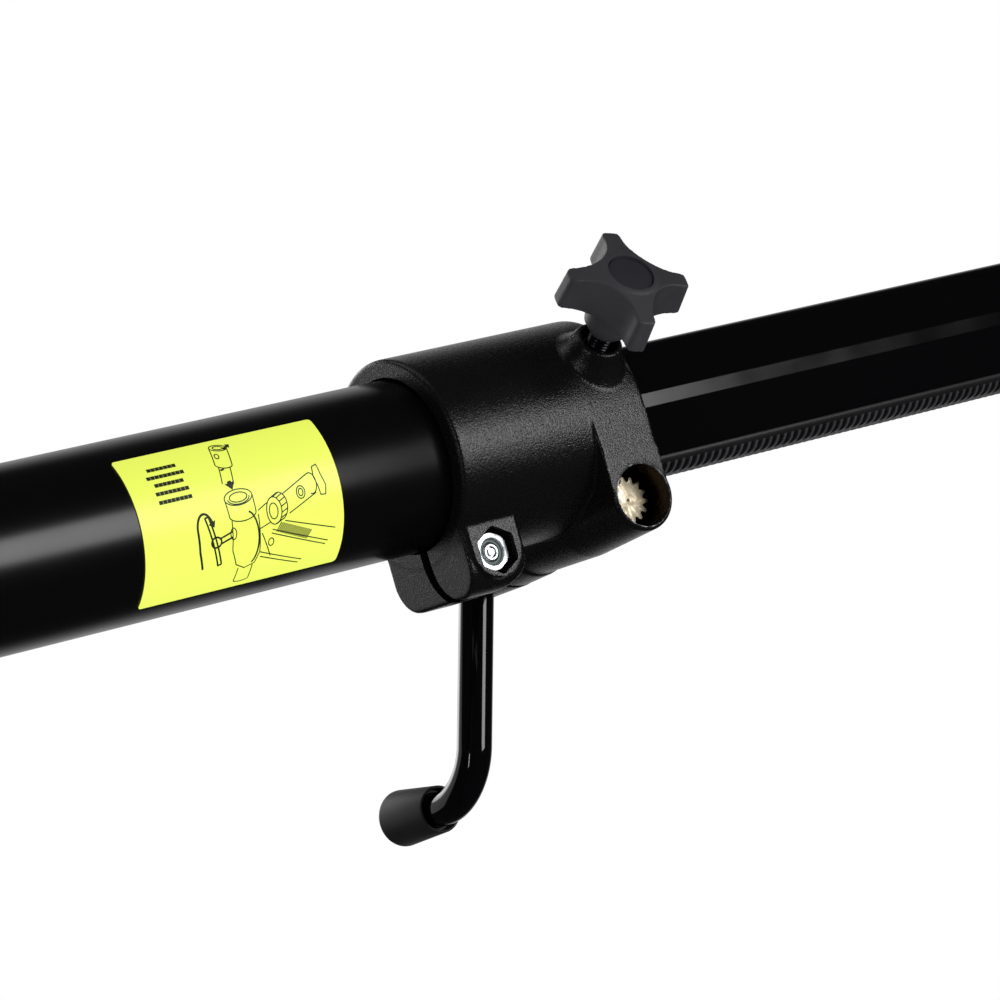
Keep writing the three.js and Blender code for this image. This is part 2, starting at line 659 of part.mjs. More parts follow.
function addSaddle() {
  const { half, width, low, boltX, boltY, capR } = SADDLE;
  const bore = barX(-half - PROUD, half + PROUD, TUBE_R + GAP, ROUND);
  const lug = extrudeY(
    tabOutline(0, -TILT_DROP, TILT_LUG.r, low + 2), -TILT_LUG.halfWidth, TILT_LUG.halfWidth, 10,
  );
  const pivotHole = barY(0, -TILT_DROP, -60, 60, 6.3, SMALL);
  const places = [[-boltX, -boltY], [-boltX, boltY], [boltX, -boltY], [boltX, boltY]];
  const holes = places.map(([x, y]) => bar([x, y, -32], [x, y, 20], 3.5, 3.5, TINY));
  const lower = join(box(-half, half, -width, width, low, -2), lug);
  piece(fulcrum, 'saddle_lower', cut(lower, bore, pivotHole, ...holes), MATERIAL.casting);
  const shell = barX(-half, half, capR, ROUND).intersect(box(-half, half, -60, 60, 2, 60));
  const cap = join(shell, box(-half, half, -width, width, 2, 15));
  piece(fulcrum, 'saddle_cap', cut(cap, bore, ...holes), MATERIAL.casting);
  places.forEach(([x, y], index) => {
    const shank = bar([x, y, -30], [x, y, 16], 3.1, 3.1, TINY);
    const head = bar([x, y, 15.3], [x, y, 21], 5.5, 5.5, 6);
    piece(fulcrum, `saddle_bolt_${index + 1}`, join(shank, head), MATERIAL.zinc);
  });
}

function addCounterweight() {
  const { rearX, frontX, r } = COUNTERWEIGHT;
  const middle = (rearX + frontX) / 2;
  const body = pipeX(rearX, frontX, r, TUBE_R + 0.5, ROUND);
  const hole = bar([middle, 0, 20], [middle, 0, r + PROUD], 4.4, 4.4, TINY);
  piece(boom, 'counterweight', cut(body, hole), MATERIAL.iron);
  addLockScrew(boom, 'counterweight_lock', TUBE_R + 22, [middle, 0, 0], [0, 0, 0]);
}

// ---------------------------------------------------------------- head

function addHeadBracket() {
  const sleeve = barX(395, 455, 36, 36);
  const nose = bar([454, 0, 0], [478, 0, 0], 36, 24, 36);
  const ears = [];
  for (const side of [-1, 1]) {
    const [y0, y1] = side < 0 ? [-FORK.outer, -FORK.inner] : [FORK.inner, FORK.outer];
    ears.push(box(465, HEAD_PIVOT_X, y0, y1, -FORK.r, FORK.r));
    ears.push(barY(HEAD_PIVOT_X, 0, y0, y1, FORK.r, 28));
  }
  const socket = extrudeX(roundedHexagon(HEX_APOTHEM + GAP, HEX_CORNER_R), 394, HEX_FRONT_X + GAP);
  const pivotHole = barY(HEAD_PIVOT_X, 0, -40, 40, 5.3, SMALL);
  const gap = box(477, 540, -FORK.inner, FORK.inner, -30, 30);
  const screwHole = bar([418, 0, 20], [418, 0, 40], 3.3, 3.3, TINY);
  const body = cut(join(sleeve, nose, ...ears), socket, gap, pivotHole, screwHole);
  piece(boom, 'head_bracket', body, MATERIAL.casting);
  const shank = bar([418, 0, HEX_APOTHEM + 2 * GAP], [418, 0, 37], 3, 3, TINY);
  const head = bar([418, 0, 36.3], [418, 0, 41], 5, 5, TINY);
  piece(boom, 'bracket_screw', join(shank, head), MATERIAL.zinc);
}

function addHeadSocket() {
  const { socketX, socketR, half, boreR, lugHalf, lugR } = HEAD;
  const barrel = bar([socketX, 0, -half], [socketX, 0, half], socketR, socketR, 32);
  const lug = join(
    barY(HEAD_PIVOT_X, 0, -lugHalf, lugHalf, lugR, 24),
    box(HEAD_PIVOT_X, socketX, -lugHalf, lugHalf, -lugR, lugR),
  );
  const boss = bar([socketX, 0, 20], [socketX + 34, 0, 20], 12, 10, SMALL);
  const bore = bar([socketX, 0, -60], [socketX, 0, 60], boreR, boreR, 28);
  const screwHole = bar([socketX, 0, 20], [socketX + 50, 0, 20], 5.4, 5.4, 16);
  const pivotHole = barY(HEAD_PIVOT_X, 0, -40, 40, 5.3, SMALL);
  const body = cut(join(barrel, lug, boss), bore, screwHole, pivotHole);
  piece(boom, 'head_socket', body, MATERIAL.casting);
}

// A wheel with teeth round its rim, on the outside of the fork.
function addToothedWheel() {
  const teeth = 24;
  const points = [];
  for (let tooth = 0; tooth < teeth; tooth += 1) {
    for (const [part, r] of [[0, 17], [0.25, 19], [0.5, 19], [0.75, 17]]) {
      const angle = ((tooth + part) * 2 * Math.PI) / teeth;
      points.push([HEAD_PIVOT_X + r * Math.cos(angle), r * Math.sin(angle)]);
    }
  }
  const wheel = extrudeY(polygon(points), FORK.outer + GAP, FORK.outer + 8);
  const hole = barY(HEAD_PIVOT_X, 0, 20, 50, 5.3, SMALL);
  piece(boom, 'toothed_wheel', cut(wheel, hole), MATERIAL.casting);
}

function addHeadScrews() {
  const bolt = barY(HEAD_PIVOT_X, 0, -44, 42, 5, SMALL);
  const boltHead = barY(HEAD_PIVOT_X, 0, FORK.outer + 8 + GAP, 45, 9, 6);
  piece(boom, 'head_tilt_bolt', join(bolt, boltHead), MATERIAL.zinc);
  const knobFrame = group(boom, [HEAD_PIVOT_X, 0, 0], [90 * DEG, 0, 0]);
  const lobes = extrudeZ(starOutline(22, 5, 10.5, 0), 33, 49, 4);
  const neck = barZ(FORK.outer + GAP, 34, 9, SMALL);
  const knob = cut(join(lobes, neck), barZ(20, 45, 5.3, SMALL));
  piece(knobFrame, 'head_tilt_knob', knob, MATERIAL.plastic);
  const screwFrame = group(boom, [HEAD.socketX, 0, 20], [0, 90 * DEG, 0]);
  piece(screwFrame, 'head_screw_pad', barZ(HEAD.boreR + 0.4, 19, 5, 16), MATERIAL.brass);
  const screw = join(barZ(19.3, 62, 5, 16), barZ(48, 62, 8, 16));
  const barHole = bar([-20, 0, 55], [20, 0, 55], 3.4, 3.4, TINY);
  piece(screwFrame, 'head_screw', cut(screw, barHole), MATERIAL.zinc);
  const handle = bar([-30, 0, 55], [30, 0, 55], 3, 3, TINY);
  piece(screwFrame, 'head_screw_bar', handle, MATERIAL.zinc);
}

// ---------------------------------------------------------------- yoke

const pivotZ = BOOM_Z - TILT_DROP;

function addYoke() {
  const { armInner, armOuter, baseR, spigotR } = YOKE;
  const baseLow = TOP_SOCKET.high + GAP;
  const arms = [];
  for (const side of [-1, 1]) {
    const [y0, y1] = side < 0 ? [-armOuter, -armInner] : [armInner, armOuter];
    arms.push(box(-TILT_LUG.r, TILT_LUG.r, y0, y1, baseLow + 12, pivotZ));
    arms.push(barY(0, pivotZ, y0, y1, TILT_LUG.r, 28));
  }
  const plate = box(-TILT_LUG.r, TILT_LUG.r, -armOuter, armOuter, baseLow + 11, baseLow + 28);
  const base = barZ(baseLow, baseLow + 12, baseR, 32);
  const spigot = barZ(TOP_SOCKET.floor + 4, baseLow + PROUD, spigotR, 28);
  const pivotHole = barY(0, pivotZ, -60, 60, 6.3, SMALL);
  piece(stand, 'yoke', cut(join(...arms, plate, base, spigot), pivotHole), MATERIAL.casting);
  const frame = group(stand, [0, 0, pivotZ], [90 * DEG, 0, 0]);
  const bolt = join(barZ(-armOuter - 8, 56, 6, SMALL), barZ(-armOuter - 8, -armOuter - GAP, 11, 6));
  piece(frame, 'tilt_bolt', bolt, MATERIAL.zinc);
  const hub = barZ(armOuter + GAP, 60, 13, SMALL);
  const lever = bar([0, 0, 50], [0, -60, 60], 7, 5, TINY);
  const handle = cut(join(hub, lever), barZ(30, 57, 6.3, SMALL));
  piece(frame, 'tilt_lever', handle, MATERIAL.plastic);
}

// ---------------------------------------------------------------- column and riser

function addTopSocket() {
  const { low, high, r, floor } = TOP_SOCKET;
  const body = barZ(low, high, r, 32);
  const riserBore = barZ(low - PROUD, RISER.high + GAP, RISER.r + GAP, ROUND);
  const spigotBore = barZ(floor, high + PROUD, YOKE.spigotR + 0.35, 28);
  const lockHole = bar([0, 0, 1142], [0, -40, 1142], 4.4, 4.4, TINY);
  piece(stand, 'top_socket', cut(body, riserBore, spigotBore, lockHole), MATERIAL.casting);
  addLockScrew(stand, 'pan_lock', YOKE.spigotR + 1, [0, 0, 1142], [90 * DEG, 0, 0]);
}

function addRiser() {
  const { r, wall, low, high } = RISER;
  piece(stand, 'riser_tube', pipeZ(low, high, r, r - wall, 32), MATERIAL.tube);
  const inner = COLUMN.r - COLUMN.wall;
  const ring = barZ(low - 20, low - GAP, inner - GAP, 32);
  const plug = barZ(low - PROUD, low + 20, r - wall - GAP, 32);
  piece(stand, 'riser_guide', join(ring, plug), MATERIAL.bush);
}

function addColumn() {
  const { r, wall, low, high } = COLUMN;
  const lockZ = high - 10;
  const tube = pipeZ(low, high, r, r - wall, 32);
  const tubeHole = bar([0, 0, lockZ], [0, -40, lockZ], 4.4, 4.4, TINY);
  piece(stand, 'column_tube', cut(tube, tubeHole), MATERIAL.tube);
  const foot = join(barZ(0, 12, 34, 32), barZ(11, 40, r + 4, 32));
  piece(stand, 'column_foot', cut(foot, barZ(low - GAP, 50, r + GAP, 32)), MATERIAL.rubber);
  const collar = join(barZ(high - 40, COLLAR_TOP_Z, 30, 32));
  const lowerBore = barZ(high - 50, high + GAP, r + GAP, 32);
  const upperBore = barZ(high, COLLAR_TOP_Z + PROUD, RISER.r + 0.5, 32);
  const lockHole = bar([0, 0, lockZ], [0, -40, lockZ], 4.4, 4.4, TINY);
  piece(stand, 'column_collar', cut(collar, lowerBore, upperBore, lockHole), MATERIAL.casting);
  addLockScrew(stand, 'riser_lock', RISER.r + 0.8, [0, 0, lockZ], [90 * DEG, 0, 0]);
  const ringLow = LEG.firstZ + 3 * LEG.step;
  piece(stand, 'leg_stop_ring', pipeZ(ringLow, ringLow + 14, 33, r + GAP, 32), MATERIAL.casting);
}

// ---------------------------------------------------------------- legs

function legTube(ringZ) {
  const centreZ = ringZ + LEG.ringHeight / 2;
  const corners = [
    new THREE.Vector3(28, 0, centreZ),
    new THREE.Vector3(LEG.kneeR, 0, centreZ),
    new THREE.Vector3(LEG.heelR, 0, FOOT.axisZ),
    new THREE.Vector3(LEG.reach - 10, 0, FOOT.axisZ),
  ];
  const path = bentRod(corners, 60, LEG.r, TINY, 4);
  const ring = barZ(ringZ, ringZ + LEG.ringHeight, 33, 32);
  const bore = barZ(ringZ - PROUD, ringZ + LEG.ringHeight + PROUD, COLUMN.r + GAP, 32);
  return cut(join(path, ring), bore);
}

// A rubber boot: round above, flat where it stands.
function footBoot() {
  const { r, axisZ, length } = FOOT;
  const shape = new THREE.Shape();
  shape.moveTo(-12, 0);
  shape.lineTo(12, 0);
  shape.lineTo(r, 8);
  shape.absarc(0, axisZ, r, 0, Math.PI, false);
  shape.lineTo(-r, 8);
  shape.closePath();
  const start = LEG.reach - length;
  const boot = extrudeX(shape, start, LEG.reach);
  const bore = bar([start - PROUD, 0, axisZ], [LEG.reach - 8, 0, axisZ], LEG.r + GAP, LEG.r + GAP, 24);
  return cut(boot, bore);
}

function addLegs() {
  LEG_AZIMUTH_DEG.forEach((azimuth, index) => {
    const frame = group(stand, [0, 0, 0], [0, 0, azimuth * DEG]);
    const letter = 'abc'[index];
    piece(frame, `leg_${letter}`, legTube(LEG.firstZ + index * LEG.step), MATERIAL.tube);
    piece(frame, `foot_${letter}`, footBoot(), MATERIAL.rubber);
  });
}

addOuterTube();
addLabel();
addCollar();
addClampFasteners();
addInnerBoom();
addPinion();
addCrankHub();
addCrankArm();
addCrankGrip();
addStarKnob();
addSaddle();
addCounterweight();
addHeadBracket();
addHeadSocket();
addToothedWheel();
addHeadScrews();
addYoke();
addTopSocket();
addRiser();
addColumn();
addLegs();

export default stand;
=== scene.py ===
"""The looks of the crank lighting stand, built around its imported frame.

Shapes are drawn in millimetres in the boom frame (origin on the tube's axis at the rear rim of the
collar, +X towards the head) and placed in metres by the matrices named after each sub-assembly.
"""

import json
import math

import bmesh
import bpy
from mathutils import Matrix, Vector

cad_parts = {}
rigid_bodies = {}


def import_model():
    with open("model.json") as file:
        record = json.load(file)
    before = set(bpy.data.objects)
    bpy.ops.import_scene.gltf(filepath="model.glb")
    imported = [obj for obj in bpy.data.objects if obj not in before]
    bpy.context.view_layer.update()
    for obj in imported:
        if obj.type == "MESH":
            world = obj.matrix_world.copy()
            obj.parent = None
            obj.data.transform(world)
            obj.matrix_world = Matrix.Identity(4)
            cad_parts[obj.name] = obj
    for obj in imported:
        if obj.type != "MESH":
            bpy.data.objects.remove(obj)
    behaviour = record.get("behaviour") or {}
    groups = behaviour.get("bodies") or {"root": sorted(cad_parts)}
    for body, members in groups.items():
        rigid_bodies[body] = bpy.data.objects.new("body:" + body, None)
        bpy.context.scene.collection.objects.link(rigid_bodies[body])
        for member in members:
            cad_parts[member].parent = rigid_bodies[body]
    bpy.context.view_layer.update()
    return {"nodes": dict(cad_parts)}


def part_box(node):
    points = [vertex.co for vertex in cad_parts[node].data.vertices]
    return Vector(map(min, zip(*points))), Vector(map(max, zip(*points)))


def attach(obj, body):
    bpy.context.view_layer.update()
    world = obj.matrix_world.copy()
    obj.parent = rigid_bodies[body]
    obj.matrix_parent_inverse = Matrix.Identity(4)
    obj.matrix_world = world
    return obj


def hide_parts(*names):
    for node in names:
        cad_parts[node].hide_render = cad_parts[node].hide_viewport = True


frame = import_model()

MM = 0.001
VERY_ROUND = 192  # sides of the collar's bores
ROUND = 160  # sides of a large round
KNOB_ROUND = 96  # sides of a knob, a nut or a rod in view
SMALL = 64  # sides of a small round
TURNED = 128  # sides of a turned piece in view
SLIM = 48  # sides of a slim round
TINY = 32  # sides of a tiny round

# ---------------------------------------------------------------- sizes, in millimetres

TUBE_R = 35.0
TUBE_WALL = 3.0
TUBE_SIDES = 256
END_CAP_LENGTH = 6.0
SLIDING_R = 31.6  # what fits inside the outer tube
PASSAGE_R = 29.6  # what the inner tube passes through

LABEL_REAR_X = -142.0
LABEL_WIDTH = 90.0
LABEL_CORNER_R = 1.5
LABEL_LOW, LABEL_HIGH = math.radians(-61.5), math.radians(42.0)
LABEL_R = TUBE_R + 0.42
LABEL_HEIGHT = (LABEL_HIGH - LABEL_LOW) * TUBE_R
LABEL_BANDS = 72  # flat bands that the label bends in
PRINT_LIFT = 0.03
PRINT_REACH = 0.7  # the longest stroke, up the label, that stays straight

COLLAR_R = 43.0
COLLAR_LENGTH = 97.0
COLLAR_CORE_R = 20.0
BORE_GAP = 0.35
NOSE_BORE_R = 31.5
HOUSING_NEAR_Y = -44.0
HOUSING_FAR_Y = 52.0
SOCKET_R = 12.66
SOCKET_DEPTH_Y = 14.0

LUG_X, LUG_Z, LUG_R = 14.5, -43.0, 14.9
LUG_NEAR_Y, LUG_FAR_Y = -30.0, 26.3
LUG_SIDE_Y = -28.9
LUG_LOW_Z = LUG_Z - LUG_R - 0.4
LUG_FACE_R = 12.0
NUT_NEAR_Y = -26.0
NUT_FAR_Y = -18.3
NUT_ACROSS = 14.4
POCKET_ACROSS = 17.4
SLOT_TURN_Y, SLOT_TURN_Z = -19.2, -42.4  # what the split between the lugs curves about
SLOT_NEAR_R, SLOT_FAR_R, SLOT_NARROWING = 15.8, 21.2, 3.6
SLOT_SWEEP = math.radians(-78)

RACK_PITCH = 4.0
RACK_CORNER_Y, RACK_CORNER_Z = -10.54, -18.25  # the centre of the tube's rounded lower corner
RACK_FROM, RACK_TO = math.radians(-155), math.radians(-90)
RACK_STEPS = 20
RACK_SINK_R, RACK_SWELL, RACK_FULLNESS = 7.9, 2.65, 0.6
RACK_ROOT_R = 8.1
NOTCH_FROM, NOTCH_FULL = 0.29, 0.5  # where a notch starts on the corner, and where it is full
SHOULDER_TO = 0.3  # the shoulder above the notches is painted in shade too
# one tooth: how far along the pitch, and how far down from the root to the tip
RACK_TOOTH = [
    (0.06, 0.0), (0.14, 0.06), (0.31, 0.86), (0.36, 1.0),
    (0.64, 1.0), (0.69, 0.86), (0.86, 0.06), (0.94, 0.0),
]
HEX_SIDE_Y = 27.9
HEX_SHOULDER_Y = 15.16
HEX_APOTHEM = 26.25
HEX_FACET_LOW, HEX_FACET_HIGH = -1.8, 4.1  # the narrow upright facet on each side
HEX_CORNER_R = 8.0
HEX_WALL = 3.0

PINION_TEETH = 14
PINION_PITCH_R = RACK_PITCH * PINION_TEETH / (2 * math.pi)
PINION_TOOTH_STEPS = 20
PINION_X = 80.6
PINION_Z = -27.8 - PINION_PITCH_R
SHAFT_R = 7.0

KNOB_X = 80.6
KNOB_TILT = math.radians(57.5)
KNOB_LOW, KNOB_HIGH = 70.9, 88.9
KNOB_TURN = math.radians(73)
# tip radius, half a lobe's width and waist of the star knobs
BIG_STAR = (27.0, 4.2, 13.5)
SMALL_STAR = (22.6, 3.6, 11.4)

CRANK_HANG = math.radians(19.75)
CRANK_RADIUS = 106.9
CRANK_Y = 78.0
CRANK_ROD_R = 7.4
CRANK_BEND_R = 23.0
GRIP_END_Y = 131.0
GRIP_BORE_R = CRANK_ROD_R + 0.4
SET_SCREW_Y = 61.0

FULCRUM_X = -450.0
COUNTERWEIGHT_X = -930.0
COUNTERWEIGHT_HALF, COUNTERWEIGHT_R = 40.0, 74.0
HEAD_BRACKET_X, HEAD_PIVOT_X = 418.0, 505.0
T_SCREW_X, T_SCREW_Z = 555.0, 20.0
COLUMN_R, COLUMN_LOW, COLUMN_HIGH = 22.0, 8.0, 760.0
RISER_R, RISER_LOW, RISER_HIGH = 18.0, 330.0, 1108.0
COLUMN_WALL = 2.5
RISER_LOCK_Z, PAN_LOCK_Z = 750.0, 1142.0
LEG_R, FOOT_Z = 12.5, 16.0
LEG_BEND_R = 60.0
LEG_RING_HEIGHT = 30.0
LEG_RINGS = {"leg_a": (180, 150), "leg_b": (-60, 184), "leg_c": (60, 218)}  # heading, height

# the voxel that melts each casting's edges
CASTINGS = {
    "saddle_lower": 1.4, "saddle_cap": 1.4, "yoke": 1.2, "top_socket": 1.1, "column_collar": 1.1,
    "leg_stop_ring": 1.0, "head_bracket": 1.1, "head_socket": 1.0, "toothed_wheel": 0.6,
}

FLOOR_R = 9.0  # in metres, as is all that follows
FLOOR_HIGH, FLOOR_LOW = -0.0005, -0.02
BACKDROP = Vector((0.583, 0.811, 0.05))  # the way to the lit backdrop
# name, heading from -Y towards +X, elevation, distance, size, power
LIGHTS = [
    ("key", 29, 3, 1.9, (0.68, 0.9), 11.8),
    ("edge", -63, 4, 1.7, (0.1, 0.5), 1.6),
    ("overhead", 0, 89, 2.2, (1.5, 1.5), 2.5),
    ("top_rear", 223, 57, 2.2, (0.9, 0.9), 3.0),
    ("far_side", 183, 18, 2.4, (1.2, 1.2), 14),
    ("rear", 216, 6, 2.4, (1.5, 1.5), 4.2),
]
CAMERA_HEADING = math.radians(35.69)  # from +Y towards +X
CAMERA_RISE = math.radians(2.77)
CAMERA_ROLL = math.radians(15.75)
CAMERA_SPOT = Vector((-886.9, -1295.1, -99.6))  # in the boom frame, millimetres
CAMERA_LENS = 142.79
CAMERA_SENSOR = 36

# ---------------------------------------------------------------- places, from the frame

TUBE_LOW, TUBE_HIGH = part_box("outer_tube")
AXIS_Z = (TUBE_LOW.z + TUBE_HIGH.z) / 2
ORIGIN = Vector((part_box("crank_collar")[0].x, 0, AXIS_Z))

ALONG_X = Matrix.Rotation(math.radians(90), 4, "Y")
ALONG_Y = Matrix.Rotation(math.radians(-90), 4, "X")
TOWARDS_NEAR = Matrix.Rotation(math.radians(90), 4, "X")
YZ_OUTLINE = Matrix(((0, 0, 1, 0), (1, 0, 0, 0), (0, 1, 0, 0), (0, 0, 0, 1)))  # carried along X
XZ_OUTLINE = Matrix(((1, 0, 0, 0), (0, 0, 1, 0), (0, 1, 0, 0), (0, 0, 0, 1)))  # carried along Y

STAND = Matrix.Scale(MM, 4)
BOOM = Matrix.Translation(ORIGIN) @ Matrix.Scale(MM, 4)
TUBE_AXIS = BOOM @ ALONG_X
PINION = BOOM @ Matrix.Translation((PINION_X, 0, PINION_Z))
PINION_AXIS = PINION @ ALONG_Y
CLAMP_AXIS = BOOM @ Matrix.Translation((LUG_X, 0, LUG_Z)) @ ALONG_Y
KNOB = BOOM @ Matrix.Translation((KNOB_X, 0, 0)) @ Matrix.Rotation(KNOB_TILT, 4, "X")
CRANK = PINION @ Matrix.Rotation(CRANK_HANG, 4, "Y")
FULCRUM = BOOM @ Matrix.Translation((FULCRUM_X, 0, 0))
TILT_PIVOT = FULCRUM @ Matrix.Translation((0, 0, -80)) @ TOWARDS_NEAR
HEAD_PIVOT = BOOM @ Matrix.Translation((HEAD_PIVOT_X, 0, 0))
COUNTERWEIGHT = BOOM @ Matrix.Translation((COUNTERWEIGHT_X, 0, 0))
LIGHT_TARGET = BOOM @ Vector((40, 0, 0))


# ---------------------------------------------------------------- mesh making


def make(name, verts, faces, place):
    """A mesh object from points in millimetres, with its faces turned outwards."""
    mesh = bpy.data.meshes.new(name)
    mesh.from_pydata([tuple(place @ Vector(v)) for v in verts], [], faces)
    shape = bmesh.new()
    shape.from_mesh(mesh)
    bmesh.ops.recalc_face_normals(shape, faces=shape.faces)
    shape.to_mesh(mesh)
    shape.free()
    obj = bpy.data.objects.new(name, mesh)
    bpy.context.scene.collection.objects.link(obj)
    return obj


def revolve(name, profile, place, sides=ROUND):
    """Turns a profile of (radius, height) about local Z. Ends on the axis close to a point."""
    verts, rings = [], []
    for r, z in profile:
        if r < 1e-6:
            rings.append([len(verts)])
            verts.append((0, 0, z))
            continue
        rings.append(list(range(len(verts), len(verts) + sides)))
        for k in range(sides):
            angle = 2 * math.pi * k / sides
            verts.append((r * math.cos(angle), r * math.sin(angle), z))
    pairs = list(zip(rings, rings[1:]))
    if len(rings[0]) > 1 and len(rings[-1]) > 1:
        pairs.append((rings[-1], rings[0]))
    faces = [face for a, b in pairs for face in between(a, b, sides)]
    return make(name, verts, faces, place)


def between(a, b, sides):
    """The faces that join two rings, either of which may be a single point."""
    for k in range(sides):
        n = (k + 1) % sides
        if len(a) == 1 and len(b) == 1:
            return
        if len(a) == 1:
            yield (a[0], b[k], b[n])
        elif len(b) == 1:
            yield (a[k], a[n], b[0])
        else:
            yield (a[k], a[n], b[n], b[k])


def rounded(points, radius, steps=6, closed=True):
    """The outline with each corner replaced by an arc. radius is one number or one per corner."""
    radii = radius if isinstance(radius, (list, tuple)) else [radius] * len(points)
    out = []
    count = len(points)
    for i, (point, r) in enumerate(zip(points, radii)):
        if r <= 0 or (not closed and i in (0, count - 1)):
            out.append(tuple(point))
            continue
        here = Vector(point)
        back = (Vector(points[i - 1]) - here).normalized()
        ahead = (Vector(points[(i + 1) % count]) - here).normalized()
        half = back.angle(ahead) / 2
        if half > math.pi / 2 - 1e-3:
            out.append(tuple(point))
            continue
        centre = here + (back + ahead).normalized() * (r / math.sin(half))
        start = here + back * (r / math.tan(half)) - centre
        end = here + ahead * (r / math.tan(half)) - centre
        for step in range(steps + 1):
            spot = start.slerp(end, step / steps) if start.angle(end) > 1e-4 else start
            out.append(tuple(centre + spot.normalized() * r))
    return out


def ring_faces(count, rows, base=0):
    """The faces of a closed solid made of rings of points, with an end face at each end."""
    faces = [tuple(range(base, base + count))]
    faces.append(tuple(range(base + count * (rows - 1), base + count * rows)))
    for row in range(rows - 1):
        first = base + row * count
        for k in range(count):
            n = (k + 1) % count
            faces.append((first + k, first + n, first + n + count, first + k + count))
    return faces


def loft(name, sections, place):
    """Joins closed sections of equal length and closes both ends."""
    verts = [point for section in sections for point in section]
    return make(name, verts, ring_faces(len(sections[0]), len(sections)), place)


def prism(name, outline, low, high, place):
    """An outline in local XY carried from low to high along Z."""
    return loft(name, [[(x, y, z) for x, y in outline] for z in (low, high)], place)


def sweep(name, path, radii, place, sides=SMALL):
    """A round rod along points. radii holds one radius for each point."""
    points = [Vector(p) for p in path]
    tangents = []
    for i in range(len(points)):
        a, b = points[max(i - 1, 0)], points[min(i + 1, len(points) - 1)]
        tangents.append((b - a).normalized())
    normal = tangents[0].orthogonal().normalized()
    sections = []
    for i, (point, tangent) in enumerate(zip(points, tangents)):
        if i:
            normal = tangents[i - 1].rotation_difference(tangent) @ normal
        side = tangent.cross(normal)
        ring = []
        for k in range(sides):
            angle = 2 * math.pi * k / sides
            ring.append(point + (normal * math.cos(angle) + side * math.sin(angle)) * radii[i])
        sections.append([tuple(p) for p in ring])
    return loft(name, sections, place)


def turn_soft(name, profile, radii, place, steps=4, sides=KNOB_ROUND):
    """Turns an open profile about local Z, with its corners rounded to the radii given."""
    return revolve(name, rounded(profile, radii, steps, closed=False), place, sides)


def rod(name, low, high, r, place, edge=0.0, sides=SMALL):
    """A round bar along local Z, with its two edges rounded."""
    return turn_soft(name, [(0, low), (r, low), (r, high), (0, high)], [0, edge, edge, 0], place, 4, sides)


def pipe(name, low, high, r, inner, place, edge=0.4, sides=ROUND):
    """A round tube along local Z, with its four edges rounded."""
    profile = [(inner, low), (r, low), (r, high), (inner, high)]
    return revolve(name, rounded(profile, edge, 3), place, sides)


def settle(obj):
    """Applies the modifiers."""
    graph = bpy.context.evaluated_depsgraph_get()
    mesh = bpy.data.meshes.new_from_object(obj.evaluated_get(graph))
    obj.modifiers.clear()
    obj.data = mesh
    return obj


def boolean(obj, others, operation):
    """Cuts, joins or intersects a piece with others, which are used up."""
    for other in others:
        modifier = obj.modifiers.new("boolean", "BOOLEAN")
        modifier.operation = operation
        modifier.object = other
        modifier.solver = "MANIFOLD"
        settle(obj)
        bpy.data.objects.remove(other)
    return obj


def cut(obj, *others):
    return boolean(obj, others, "DIFFERENCE")


def fuse(obj, *others):
    return boolean(obj, others, "UNION")


def overlap(obj, *others):
    return boolean(obj, others, "INTERSECT")


def soften(obj, voxel, passes, factor=0.5):
    """Melts edges and joints as casting does: an even mesh, then smoothing."""
    remesh = obj.modifiers.new("remesh", "REMESH")
    remesh.mode = "VOXEL"
    remesh.voxel_size = voxel * MM
    smooth = obj.modifiers.new("smooth", "SMOOTH")
    smooth.factor = factor
    smooth.iterations = passes
    return settle(obj)


def bevel(obj, width, segments, angle):
    modifier = obj.modifiers.new("bevel", "BEVEL")
    modifier.width = width * MM
    modifier.segments = segments
    modifier.limit_method = "ANGLE"
    modifier.angle_limit = math.radians(angle)
    return settle(obj)


def shade(obj, angle):
    """Smooth shading, with edges sharper than the angle kept crisp."""
    mesh = obj.data
    mesh.polygons.foreach_set("use_smooth", [True] * len(mesh.polygons))
    mesh.set_sharp_from_angle(angle=math.radians(angle))


def body_of(node):
    """The body that the frame puts a CAD node on."""
    return frame["nodes"][node].parent.name.split(":", 1)[1]


def dress(obj, material, node, angle=35, stands_in=True):
    """Shades and paints a finished piece, and puts it on its CAD node's body in that node's place.
    A detail that the CAD leaves out names the node it belongs to and doesn't stand in for it."""
    obj.data.materials.clear()
    obj.data.materials.append(material)
    shade(obj, angle)
    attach(obj, body_of(node))
    if stands_in:
        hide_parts(node)
    return obj


# ---------------------------------------------------------------- materials


def new_material(name, color, roughness, metallic=0.0, specular=0.5):
    """A plain material, with its node tree and shader to be worked on."""
    material = bpy.data.materials.new(name)
    material.use_nodes = True
    shader = material.node_tree.nodes["Principled BSDF"]
    shader.inputs["Base Color"].default_value = (*color, 1)
    shader.inputs["Roughness"].default_value = roughness
    shader.inputs["Metallic"].default_value = metallic
    shader.inputs["Specular IOR Level"].default_value = specular
    return material, material.node_tree, shader


def add(tree, kind, values=None, **settings):
    """A node with its inputs' values and its own settings."""
    node = tree.nodes.new(kind)
    for key, value in settings.items():
        setattr(node, key, value)
    for key, value in (values or {}).items():
        node.inputs[key].default_value = value
    return node


def noise(tree, scale, detail=3.0):
    """A noise texture in the piece's own space, in cells to the metre."""
    place = add(tree, "ShaderNodeTexCoord")
    texture = add(tree, "ShaderNodeTexNoise", {"Scale": scale, "Detail": detail})
    tree.links.new(place.outputs["Object"], texture.inputs["Vector"])
    return texture.outputs["Fac"]


